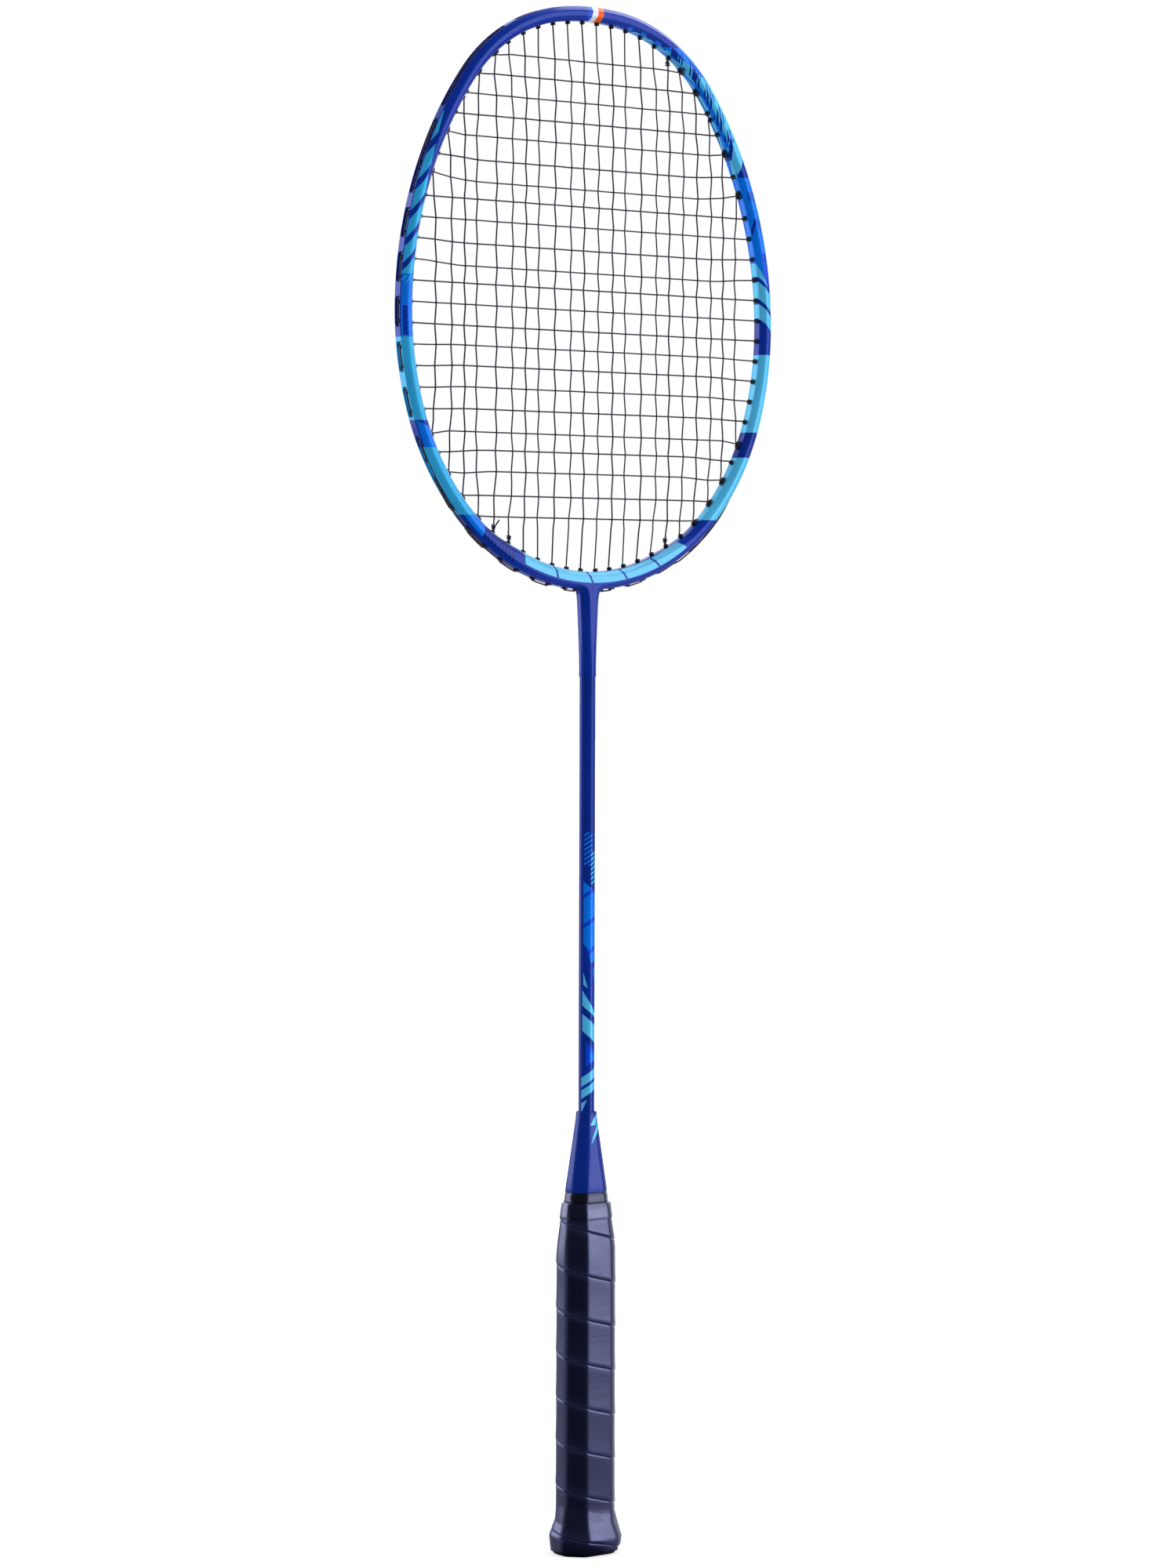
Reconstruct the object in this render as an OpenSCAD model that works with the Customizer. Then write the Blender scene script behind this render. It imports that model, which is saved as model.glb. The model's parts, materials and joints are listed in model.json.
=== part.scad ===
// Badminton racket: carbon hoop with its T-shaped throat, tubular shaft, taped octagonal handle,
// and two strings laced through grommets. +X across the head, +Y away from the front face, +Z from
// butt to tip. The origin is on the racket's axis, at the butt end. Millimetres and degrees.

/* [Racket] */
// Length from the butt end to the tip of the head
overall_length = 675; // [660:1:680]

/* [Head outline] */
// Width of the head over the frame
head_width = 203; // [196:1:210]
// Distance from the tip down to the widest level
tip_to_widest = 136; // [128:1:144]
// Distance from the widest level down to the bottom of the hoop
widest_to_bottom = 118.5; // [112:0.5:126]
// Radius of the shoulders at the top corners
shoulder_radius = 76.5; // [72:0.5:82]
// Turn of the frame from the tip to where each shoulder starts
tip_turn = 8; // [5:1:12]
// Turn of the frame from the tip to where each shoulder ends
shoulder_turn = 54; // [50:1:58]
// Radius of the lower corners
corner_radius = 115; // [108:1:122]
// Turn of the frame from the bottom to where each lower corner starts
bottom_turn = 46; // [42:1:50]
// Turn of the frame from the bottom to where each lower corner ends
corner_turn = 73; // [68:1:78]

/* [Frame tube] */
// Thickness of the tube in the plane of the strings
tube_width = 6.4; // [5.8:0.1:7.2]
// Depth of the tube from front to back
tube_depth = 8.4; // [7.8:0.1:9.6]
// Bevel on the tube's long edges
tube_bevel = 2; // [1.4:0.1:2.3]
// Wall of the tube
tube_wall = 1.1; // [0.8:0.1:1.3]
// Width of the groove that the strings run in, round the outside
groove_width = 3.6; // [3.4:0.1:4]
// Depth of that groove
groove_depth = 1.2; // [1:0.1:1.3]

/* [Strings] */
// Diameter of the string
string_d = 0.7; // [0.62:0.01:0.76]
// Gap between the layer of main strings and the layer of cross strings
layer_gap = 0.06; // [0.04:0.01:0.12]
// Number of main strings in each half of the head
mains_per_half = 11; // [9:2:11]
// Spacing of the main strings
main_pitch = 7.87; // [7.4:0.01:8]
// Number of cross strings
cross_count = 23; // [19:2:23]
// Spacing of the cross strings
cross_pitch = 9.07; // [8.8:0.01:9.2]
// Distance from the tip down to the first cross string
tip_to_first_cross = 24; // [22:0.5:26]
// Length of a string's tail past its knot
knot_tail = 3.5; // [2:0.5:6]

/* [Grommets] */
// Outer diameter of a grommet's barrel
barrel_d = 2.4; // [2.3:0.05:2.6]
// Wall of a barrel
barrel_wall = 0.35; // [0.25:0.05:0.35]
// Width of the flange round the barrel's outer end
flange_rim = 0.35; // [0.2:0.05:0.4]
// Thickness of the flange
flange_thickness = 0.4; // [0.3:0.05:0.5]
// Length of barrel that stands out of the frame on the inside
barrel_stand = 1.2; // [0.6:0.1:1.8]
// Closest that a main and a cross hole may be before they share one
share_distance = 3; // [2.9:0.1:3.3]

/* [Shaft and throat] */
// Diameter of the shaft
shaft_d = 7; // [6.6:0.1:7.6]
// Wall of the shaft
shaft_wall = 0.9; // [0.6:0.1:1.1]
// Length of the throat below the hoop
throat_length = 38; // [32:1:44]
// Width of the throat where it meets the hoop
throat_width = 10; // [9.6:0.1:10.2]
// Wall of the throat at its lower rim
throat_rim = 0.3; // [0.2:0.05:0.6]
// Depth to which the shaft goes up into the throat
throat_socket = 27; // [20:1:30]
// Diameter of the pin that joins the throat to the hoop
pin_d = 4.2; // [3.6:0.1:4.6]
// Length of the pin inside the shaft
pin_in_shaft = 16; // [10:1:20]

/* [Handle] */
// Width of the handle over the grip
handle_width = 26.8; // [25:0.1:28]
// Depth of the handle over the grip
handle_depth = 20.2; // [19:0.1:22]
// Bevel on the handle's edges, over the grip
handle_bevel = 6.1; // [5.4:0.1:6.4]
// Height of the wooden core's shoulder above the butt end
core_top = 154; // [150:1:158]
// Length over which the core narrows below that shoulder
core_taper = 21; // [18:1:26]
// How far each side of the core comes in along that length
core_narrowing = 2.6; // [2:0.1:3]
// Diameter of the spigot on top of the core
spigot_d = 12.6; // [12:0.1:13]
// Length of that spigot
spigot_length = 10; // [8:0.5:12]
// Depth to which the shaft goes down into the core
shaft_in_core = 84; // [70:1:95]

/* [Butt cap] */
// Height of the butt cap
cap_height = 12; // [11:0.5:13]
// Thickness of the butt cap's floor
cap_floor = 5; // [4:0.5:6]
// How far the knob at the butt stands out past the handle's sides
knob_out = 3; // [2.2:0.1:3.4]
// Height of the knob's widest level
knob_level = 7; // [6:0.5:8]
// Height at which the flare of the knob starts
flare_level = 17; // [15:0.5:20]
// Thickness of the end plate below the grip
end_plate = 1.6; // [1.2:0.1:2]
// How far the end plate stands out past the cap's sides
plate_out = 0.9; // [0.6:0.1:1.2]
// Diameter of a cap nail's shank
nail_d = 1.6; // [1.2:0.1:2]
// Length of a cap nail's shank
nail_length = 15; // [12:0.5:18]
// Distance between the two cap nails
nail_spacing = 12; // [11:0.5:13]

/* [Grip and bands] */
// Thickness of the grip tape
grip_thickness = 1.5; // [1.2:0.1:1.8]
// Rise of the grip tape in one turn
grip_pitch = 19.2; // [18:0.1:21]
// Gap between one turn of the grip tape and the next
grip_seam = 0.5; // [0.45:0.05:0.8]
// Distance from the core's shoulder down to the grip's upper edge
grip_below_top = 1; // [0.6:0.1:3]
// Length of the finishing tape over the grip's upper edge
finish_length = 7; // [5:0.5:9]
// Thickness of the finishing tape
finish_thickness = 0.3; // [0.2:0.05:0.5]
// Height of the black band under the cone
band_height = 3.6; // [3:0.1:5]
// Width of the cone's lower end
cone_width = 19.2; // [18:0.1:20]
// Depth of the cone's lower end
cone_depth = 14.6; // [14:0.1:16]
// Bevel on the cone's edges at its lower end
cone_bevel = 4.6; // [4:0.1:5]
// Length of the cone
cone_length = 35; // [30:0.5:40]
// Height of the rim at the cone's upper end
cone_rim = 1.8; // [1.2:0.1:2.4]
// Wall of the cone at its upper end
cone_wall = 0.6; // [0.5:0.1:0.9]

/* [Fits] */
// Gap on each side of a glued or pressed joint
fit_gap = 0.05; // [0.03:0.01:0.08]

/* [Hidden] */

bevel_share = 2 - sqrt(2); // share of an outward offset by which a 45 degree bevel grows
overlap = 1; // length by which a cutter passes the face that it cuts
seam_length = 0.8;
seam_proud = 0.01;
lead_in = 9; // length over which a string swings from its straight line to its hole
knot_lift = 1.6; // distance from the barrel to the knot
knot_length = 2;
knot_wall = 0.5;
tie_rise = knot_lift + knot_length + knot_tail;
throat_clearance = 0.6; // room between the throat and the hole beside it
string_sides = 6; // sides of a string's section
run_step = 2.5; // degrees between points of a string in the groove
cap_levels = 6; // steps up the butt cap's flared side
grip_levels = 6; // points up each face of the grip tape
knob_rounding = 0.6; // share of the knob's standing out that it loses at the butt end
nail_bottom = 0.4;
nail_head_d = 3.2;
nail_head_height = 0.6;
nail_top = nail_bottom + nail_length;

// Head outline: six arcs from the tip (normal at 0 degrees) round to the bottom (180 degrees).
// The tip and side radii follow from the head's width and height and from the shoulder, and the
// bottom and lower side radii from the lower corner.
function tip_radius(a, b, r, t1, t2) =
    let (p = a - r * (sin(t2) - sin(t1)), q = b - r * (cos(t1) - cos(t2)))
    (p * cos(t2) - q * (1 - sin(t2))) / (sin(t1) * cos(t2) - (1 - cos(t1)) * (1 - sin(t2)));
function side_radius(a, r, t1, t2, tip) =
    (a - tip * sin(t1) - r * (sin(t2) - sin(t1))) / (1 - sin(t2));

half_width = head_width / 2;
r_tip = tip_radius(half_width, tip_to_widest, shoulder_radius, tip_turn, shoulder_turn);
r_side = side_radius(half_width, shoulder_radius, tip_turn, shoulder_turn, r_tip);
r_bottom = tip_radius(half_width, widest_to_bottom, corner_radius, bottom_turn, corner_turn);
r_low_side = side_radius(half_width, corner_radius, bottom_turn, corner_turn, r_bottom);

arc_radii = [r_tip, shoulder_radius, r_side, r_low_side, corner_radius, r_bottom];
arc_turns = [0, tip_turn, shoulder_turn, 90, 180 - corner_turn, 180 - bottom_turn, 180];
function arc_centre(i) = i == 0
    ? [0, overall_length - r_tip]
    : arc_centre(i - 1) + (arc_radii[i - 1] - arc_radii[i]) * [sin(arc_turns[i]), cos(arc_turns[i])];
arc_centres = [for (i = [0:5]) arc_centre(i)];

// Point of the outline, moved in by an inset, where its normal leans by the turn t
function arc_at(t) = max([for (i = [0:5]) t >= arc_turns[i] ? i : 0]);
function outline(t, inset) =
    let (i = arc_at(t)) arc_centres[i] + (arc_radii[i] - inset) * [sin(t), cos(t)];
// Turns at which the inset outline passes a distance x from the axis, above and below the widest
// level, and the turn at which it passes a height z
function turn_at_x(x, inset, upper) =
    [for (i = upper ? [0:2] : [3:5])
        let (s = asin((x - arc_centres[i][0]) / (arc_radii[i] - inset)), t = upper ? s : 180 - s)
        if (t >= arc_turns[i] && t <= arc_turns[i + 1]) t][0];
function turn_at_z(z, inset) =
    [for (i = [0:5])
        let (c = (z - arc_centres[i][1]) / (arc_radii[i] - inset), t = abs(c) <= 1 ? acos(c) : -1)
        if (t >= arc_turns[i] && t <= arc_turns[i + 1]) t][0];

hoop_bottom = overall_length - tip_to_widest - widest_to_bottom;

// Lacing. The main strings lie behind the cross strings. A string turns into its barrel at
// string_inset inside the outline and leaves it at string_out, over the flanges in the groove.
layer_y = (string_d + layer_gap) / 2;
tie_y = 3 * layer_y; // place in the groove of the main string's ends, beside its loops
string_inset = tube_width + barrel_stand + string_d / 2;
string_out = groove_depth - flange_thickness - 2 * fit_gap - string_d / 2;
main_x = [for (k = [0:mains_per_half - 1]) (k + 0.5) * main_pitch];
cross_z = [for (i = [0:cross_count - 1]) overall_length - tip_to_first_cross - i * cross_pitch];

main_top_own = [for (x = main_x) turn_at_x(x, string_inset, true)];
main_low_own = [for (x = main_x) turn_at_x(x, string_inset, false)];
cross_own = [for (z = cross_z) turn_at_z(z, string_inset)];
function spread(s, t) = norm(outline(s, string_inset) - outline(t, string_inset));
function sharers(t, others) = [for (u = others) if (spread(t, u) < share_distance) u];
function hole_turn(t, others) =
    let (near = sharers(t, others)) len(near) > 0 ? (t + near[0]) / 2 : t;
main_top = [for (t = main_top_own) hole_turn(t, cross_own)];
main_low = [for (t = main_low_own) hole_turn(t, cross_own)];
cross_turn = [for (t = cross_own) hole_turn(t, concat(main_top_own, main_low_own))];
cross_shares = [for (t = cross_own) len(sharers(t, concat(main_top_own, main_low_own))) > 0];

// The two holes beside the throat slant outwards, so that their strings pass clear of it
throat_exit = turn_at_x(throat_width / 2 + barrel_d / 2 + throat_clearance, 0, false);
function main_low_exit(k) = k == 0 ? throat_exit : main_low[k];

// Main strings, counted from the axis, beside which the strings' ends are tied: the cross string
// at the first hole clear of its last run, and the main string at the next
last_cross = cross_count - 1;
tie_cross = max([for (k = [0:mains_per_half - 1])
    if (main_low[k] > cross_turn[last_cross] + 2 * run_step) k]);
tie_main = tie_cross - 1;

function place(side, p, y) = [side * p[0], y, p[1]];
function in_point(side, t, y) = place(side, outline(t, string_inset), y);
function out_point(side, t, y) = place(side, outline(t, string_out), y);
function groove_run(side, t1, t2, y) =
    let (n = max(1, ceil(abs(t2 - t1) / run_step)))
    [for (i = [0:n]) out_point(side, t1 + (t2 - t1) * i / n, y)];
function reversed(v) = [for (i = [len(v) - 1:-1:0]) v[i]];
function mirrored(v) = [for (p = v) [-p[0], p[1], p[2]]];
function along(p, q, s) = p + (q - p) * s / norm(q - p);
// Where main string k leaves its barrel, at its top or its lower end, where it comes into its
// straight line, and the place at a distance s from the barrel
function mouth(k, top) = outline(top ? main_top[k] : main_low[k], string_inset);
function lead(k, top) = [main_x[k], mouth(k, top)[1] + (top ? -lead_in : lead_in)];
function beside(side, k, top, s, y) = place(side, along(mouth(k, top), lead(k, top), s), y);

// Main string k of the right half from its lower end to its upper end, without the groove
function main_rise(k) = [
    for (p = [mouth(k, false), lead(k, false), lead(k, true), mouth(k, true)]) place(1, p, layer_y)
];
// Groove between main strings k and k + 1, at the bottom and at the top
function low_loop(k) = groove_run(1, main_low_exit(k), main_low_exit(k + 1), layer_y);
function top_loop(k) = groove_run(1, main_top[k], main_top[k + 1], layer_y);
// The right half of the main string, from the tip's middle outwards
half_main = [for (k = [0:mains_per_half - 1])
    each k % 2 == 0
        ? concat(reversed(main_rise(k)), k < mains_per_half - 1 ? low_loop(k) : [])
        : concat(main_rise(k), k < mains_per_half - 1 ? top_loop(k) : [])];
// A string's end goes along the groove and in through a main string's hole, beside that string
function tie_low(side, from, k, y) = concat(
    groove_run(side, from, main_low[k] - run_step, y),
    [out_point(side, main_low[k], -layer_y), in_point(side, main_low[k], -layer_y),
     beside(side, k, false, tie_rise, -layer_y)]);
last_low = main_low[mains_per_half - 1];
function main_end(side, k) = concat(
    [out_point(side, last_low, layer_y)], tie_low(side, last_low + run_step, k, -tie_y));
main_route = concat(
    reversed(main_end(-1, tie_main)), reversed(mirrored(half_main)),
    groove_run(-1, main_top[0], 0, layer_y), groove_run(1, run_step / 2, main_top[0], layer_y),
    half_main, main_end(1, tie_main));

// Cross string i from left to right, with its barrels
function cross_span(i) =
    let (p = outline(cross_turn[i], string_inset), z = cross_z[i], x = p[0] - lead_in)
    [place(-1, p, -layer_y), [-x, -layer_y, z], [x, -layer_y, z], place(1, p, -layer_y)];
function cross_loop(side, i) = groove_run(side, cross_turn[i], cross_turn[i + 1], -layer_y);
cross_start = [beside(1, tie_main, true, tie_rise, -layer_y), beside(1, tie_main, true, 0, -layer_y)];
cross_route = concat(
    cross_start, groove_run(1, main_top[tie_main], cross_turn[0], -layer_y),
    [for (i = [0:last_cross])
        each concat(
            i % 2 == 0 ? reversed(cross_span(i)) : cross_span(i),
            i < last_cross ? cross_loop(i % 2 == 0 ? -1 : 1, i) : [])],
    tie_low(-1, cross_turn[last_cross], tie_cross, -layer_y));

// A tube of the string's diameter along a route: one ring of points at each point of the route
function unit(v) = v / norm(v);
function ring(route, i) =
    let (
        last = len(route) - 1,
        before = unit(route[max(i, 1)] - route[max(i, 1) - 1]),
        after = unit(route[min(i, last - 1) + 1] - route[min(i, last - 1)]),
        along = unit(before + after),
        stretch = min(1 / max(along * after, 0.5), 1.5),
        out = unit(cross(along, [0, 1, 0])),
        up = cross(out, along)
    )
    [for (s = [0:string_sides - 1])
        let (a = 360 * s / string_sides)
        route[i] + string_d / 2 * (cos(a) * stretch * out + sin(a) * up)];
module string_tube(route) {
    n = string_sides;
    rings = len(route);
    points = [for (i = [0:rings - 1]) each ring(route, i)];
    start_cap = [for (s = [1:n - 2]) [0, s, s + 1]];
    end_cap = [for (s = [1:n - 2]) [(rings - 1) * n, (rings - 1) * n + s + 1, (rings - 1) * n + s]];
    wall = [for (i = [0:rings - 2], s = [0:n - 1])
        let (a = i * n + s, b = i * n + (s + 1) % n)
        each [[a, a + n, b], [b, a + n, b + n]]];
    polyhedron(points, concat(start_cap, wall, end_cap));
}

// Handle: octagons whose corners run anticlockwise seen from above
function octagon(w, d, b) = [
    [w / 2, b - d / 2], [w / 2, d / 2 - b], [w / 2 - b, d / 2], [b - w / 2, d / 2],
    [-w / 2, d / 2 - b], [-w / 2, b - d / 2], [b - w / 2, -d / 2], [w / 2 - b, -d / 2]
];
function handle_octagon(out) =
    octagon(handle_width + 2 * out, handle_depth + 2 * out, handle_bevel + bevel_share * out);
taper_start = core_top - core_taper;
function knob(z) =
    let (s = (z - knob_level) / (flare_level - knob_level), r = (knob_level - z) / knob_level)
    s < 0 ? knob_out * (1 - knob_rounding * r * r) : s < 1 ? knob_out * (1 - s * s * (3 - 2 * s)) : 0;
function side_out(z) = knob(z) - core_narrowing * max(0, z - taper_start) / core_taper;
core_out = -grip_thickness - fit_gap;
// A solid through octagons at the heights zs, each moved out from the handle's sides by outs
module handle_loft(zs, outs) {
    n = len(zs);
    points = [for (i = [0:n - 1], p = handle_octagon(outs[i])) [p[0], p[1], zs[i]]];
    wall = [for (i = [0:n - 2], s = [0:7])
        let (a = 8 * i + s, b = 8 * i + (s + 1) % 8)
        each [[a, a + 8, b], [b, a + 8, b + 8]]];
    base = [for (s = [1:6]) [0, s, s + 1]];
    top = [for (s = [1:6]) [8 * (n - 1), 8 * (n - 1) + s + 1, 8 * (n - 1) + s]];
    polyhedron(points, concat(base, wall, top));
}

band_bottom = core_top + fit_gap;
cone_bottom = band_bottom + band_height + fit_gap;
spigot_top = core_top + spigot_length;
shaft_bottom = spigot_top - shaft_in_core;
throat_bottom = hoop_bottom - throat_length;
shaft_top = throat_bottom + throat_socket;
grip_bottom = end_plate + fit_gap;
grip_top = core_top - grip_below_top;

// Section of the tube: x is 0 on the outline and falls inwards, y is the depth
module tube_outside(grow) {
    translate([-tube_width / 2, 0])
        polygon(octagon(tube_width + 2 * grow, tube_depth + 2 * grow, tube_bevel + bevel_share * grow));
}
module groove(shrink) {
    translate([shrink - groove_depth, shrink - groove_width / 2])
        square([groove_depth + overlap, groove_width - 2 * shrink]);
}
cavity_width = tube_width - groove_depth - 2 * tube_wall;
module tube_cavity(shrink) {
    inset = tube_wall + shrink;
    translate([-groove_depth - tube_wall - cavity_width / 2, 0])
        polygon(octagon(
            cavity_width - 2 * shrink, tube_depth - 2 * inset, tube_bevel - bevel_share * inset));
}
// Wall of the tube; grow makes it thicker on every face
module tube_section(grow) {
    difference() {
        tube_outside(grow);
        groove(grow);
        tube_cavity(grow);
    }
}
// Moves a shape from the start of a turned profile, on +X, to the turn t of the arc i
module on_arc(i, t) {
    translate([arc_centres[i][0], 0, arc_centres[i][1]])
        rotate([90, 0, 0])
            rotate([0, 0, 90 - t])
                children();
}
// A stretch of the hoop between two turns, on the arc i; the child is its section
module hoop_arc(i, from, to) {
    on_arc(i, to)
        rotate_extrude(angle = to - from, $fn = 180)
            translate([arc_radii[i], 0])
                children();
}
// A short straight band, proud of the tube by a hair, that makes two arcs one body
module hoop_seam(i) {
    on_arc(i, arc_turns[i])
        translate([arc_radii[i], 0, 0])
            rotate([90, 0, 0])
                linear_extrude(seam_length, center = true)
                    tube_section(seam_proud);
}
module hoop_tube() {
    hoop_arc(0, -tip_turn, tip_turn) tube_section(0);
    hoop_arc(5, 180 - bottom_turn, 180 + bottom_turn) tube_section(0);
    for (side = [0, 1])
        mirror([side, 0, 0]) {
            for (i = [1:4])
                hoop_arc(i, arc_turns[i], arc_turns[i + 1]) tube_section(0);
            for (i = [1:5])
                hoop_seam(i);
        }
}

// A cylinder between two points that share a y
module rod(p, q, d) {
    v = q - p;
    translate(p)
        rotate([0, atan2(v[0], v[2]), 0])
            cylinder(h = norm(v), d = d, $fn = 24);
}
// Ends of a barrel: inside the head and in the groove, for a hole with turns t_in and t_out
function barrel_in(side, t_in) = place(side, outline(t_in, tube_width + barrel_stand), 0);
function barrel_out(side, t_out) =
    place(side, outline(t_out, groove_depth - flange_thickness - fit_gap), 0);
module hole(side, t_in, t_out) {
    p = barrel_in(side, t_in);
    q = barrel_out(side, t_out);
    rod(p, along(q, p, -2 * overlap), barrel_d + 2 * fit_gap);
}
module grommet(side, t_in, t_out) {
    p = barrel_in(side, t_in);
    q = barrel_out(side, t_out);
    difference() {
        union() {
            rod(p, q, barrel_d);
            if (t_in == t_out)
                rod(along(q, p, flange_thickness), q, barrel_d + 2 * flange_rim);
        }
        rod(along(p, q, -overlap), along(q, p, -overlap), barrel_d - 2 * barrel_wall);
    }
}

module frame_hoop() {
    color("#123aa6")
        difference() {
            hoop_tube();
            for (side = [-1, 1]) {
                for (k = [0:mains_per_half - 1]) {
                    hole(side, main_top[k], main_top[k]);
                    hole(side, main_low[k], main_low_exit(k));
                }
                for (i = [0:last_cross])
                    if (!cross_shares[i])
                        hole(side, cross_turn[i], cross_turn[i]);
            }
            translate([0, 0, hoop_bottom - overlap])
                cylinder(
                    h = overlap + groove_depth + tube_wall + cavity_width / 2,
                    d = pin_d + 2 * fit_gap, $fn = 48);
        }
}
module throat_joint() {
    rim_d = shaft_d + 2 * fit_gap + 2 * throat_rim;
    color("#1c44b4")
        difference() {
            hull() {
                translate([0, 0, throat_bottom])
                    cylinder(h = throat_rim, d = rim_d, $fn = 48);
                translate([0, 0, hoop_bottom - tube_bevel])
                    linear_extrude(2 * tube_bevel)
                        polygon(octagon(throat_width, tube_depth, tube_bevel));
            }
            hoop_arc(5, 180 - bottom_turn, 180 + bottom_turn)
                difference() {
                    tube_outside(fit_gap);
                    groove(fit_gap);
                }
            translate([0, 0, throat_bottom - overlap])
                cylinder(h = overlap + throat_socket + fit_gap, d = shaft_d + 2 * fit_gap, $fn = 64);
            translate([0, 0, shaft_top])
                cylinder(h = hoop_bottom + groove_depth - shaft_top + overlap, d = pin_d + 2 * fit_gap, $fn = 48);
        }
}
module throat_pin() {
    pin_top = hoop_bottom + groove_depth + tube_wall + cavity_width / 2 - fit_gap;
    color("#3b3f46")
        translate([0, 0, shaft_top - pin_in_shaft])
            cylinder(h = pin_top - shaft_top + pin_in_shaft, d = pin_d, $fn = 48);
}
module shaft() {
    color("#142f8c")
        translate([0, 0, shaft_bottom])
            difference() {
                cylinder(h = shaft_top - shaft_bottom, d = shaft_d, $fn = 64);
                translate([0, 0, -overlap])
                    cylinder(h = shaft_top - shaft_bottom + 2 * overlap, d = shaft_d - 2 * shaft_wall, $fn = 64);
            }
}
module cone_cap() {
    top_d = shaft_d + 2 * fit_gap + 2 * cone_wall;
    color("#17379c")
        translate([0, 0, cone_bottom])
            difference() {
                hull() {
                    linear_extrude(cone_wall)
                        polygon(octagon(cone_width, cone_depth, cone_bevel));
                    translate([0, 0, cone_length - cone_rim])
                        cylinder(h = cone_rim, d = top_d, $fn = 48);
                }
                translate([0, 0, -overlap])
                    cylinder(h = cone_length + 2 * overlap, d = shaft_d + 2 * fit_gap, $fn = 64);
                translate([0, 0, -overlap])
                    cylinder(h = overlap + spigot_top + fit_gap - cone_bottom, d = spigot_d + 2 * fit_gap, $fn = 64);
            }
}
module base_band() {
    inset = 2 * finish_thickness;
    color("#101114")
        translate([0, 0, band_bottom])
            linear_extrude(band_height)
                difference() {
                    polygon(octagon(cone_width - inset, cone_depth - inset, cone_bevel - bevel_share * inset / 2));
                    circle(d = spigot_d + 2 * fit_gap, $fn = 64);
                }
}
module nail_bore(from, to, d) {
    for (x = [-0.5, 0.5] * nail_spacing)
        translate([x, 0, from])
            cylinder(h = to - from, d = d, $fn = 24);
}
module handle_core() {
    color("#c9a06a")
        difference() {
            union() {
                handle_loft(
                    [cap_floor + fit_gap, taper_start, core_top],
                    [core_out, core_out, core_out - core_narrowing]);
                translate([0, 0, core_top - overlap])
                    cylinder(h = spigot_length + overlap, d = spigot_d, $fn = 64);
            }
            translate([0, 0, shaft_bottom - fit_gap])
                cylinder(h = shaft_in_core + 2 * overlap, d = shaft_d + 2 * fit_gap, $fn = 64);
            nail_bore(cap_floor - overlap, nail_top + fit_gap, nail_d + 2 * fit_gap);
        }
}
module butt_cap() {
    zs = [for (i = [0:cap_levels]) end_plate + (cap_height - end_plate) * i / cap_levels];
    plate_side = plate_out - grip_thickness;
    color("#1a1b20")
        difference() {
            union() {
                handle_loft(concat([end_plate / 2], zs), [for (z = concat([end_plate], zs)) side_out(z) + core_out]);
                handle_loft([0, end_plate], [for (z = [0, end_plate]) side_out(z) + plate_side]);
            }
            translate([0, 0, cap_floor])
                linear_extrude(cap_height)
                    polygon(handle_octagon(core_out + fit_gap));
            nail_bore(-overlap, cap_floor + overlap, nail_d + 2 * fit_gap);
            nail_bore(-overlap, nail_bottom + nail_head_height + fit_gap, nail_head_d + 2 * fit_gap);
        }
}
module cap_nail(side) {
    color("#a8abb0")
        translate([side * nail_spacing / 2, 0, nail_bottom]) {
            cylinder(h = nail_head_height, d = nail_head_d, $fn = 24);
            cylinder(h = nail_top - nail_bottom, d = nail_d, $fn = 24);
        }
}
module cap_nail_left() {
    cap_nail(-1);
}
module cap_nail_right() {
    cap_nail(1);
}

// Grip tape: a ribbon that climbs clockwise, seen from above. It has one ring of points at each
// corner of the octagon that it passes, with grip_levels points up each face of the ribbon.
corner_ring = handle_octagon(0);
perimeter = girth_to(8);
function girth_to(n) = n == 0
    ? 0
    : girth_to(n - 1) + norm(corner_ring[(16 - n) % 8] - corner_ring[(17 - n) % 8]);
function ribbon_z(m) = grip_bottom - grip_pitch / 2 + grip_pitch * (floor(m / 8) + girth_to(m % 8) / perimeter);
function ribbon_low(m) = max(grip_bottom, ribbon_z(m) - (grip_pitch - grip_seam) / 2);
function ribbon_high(m) = min(grip_top, ribbon_z(m) + (grip_pitch - grip_seam) / 2);
ribbon_rings = 8 * ceil((grip_top - grip_bottom) / grip_pitch + 2);
ribbon = [for (m = [0:ribbon_rings]) if (ribbon_high(m) - ribbon_low(m) > grip_thickness) m];
function ribbon_ring(m) =
    let (
        zs = [for (i = [0:grip_levels - 1])
            ribbon_low(m) + (ribbon_high(m) - ribbon_low(m)) * i / (grip_levels - 1)],
        inner = [for (z = zs)
            let (p = handle_octagon(side_out(z) - grip_thickness)[(16 - m % 8) % 8]) [p[0], p[1], z]],
        outer = [for (z = zs) let (p = handle_octagon(side_out(z))[(16 - m % 8) % 8]) [p[0], p[1], z]]
    )
    concat(inner, reversed(outer));
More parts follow.
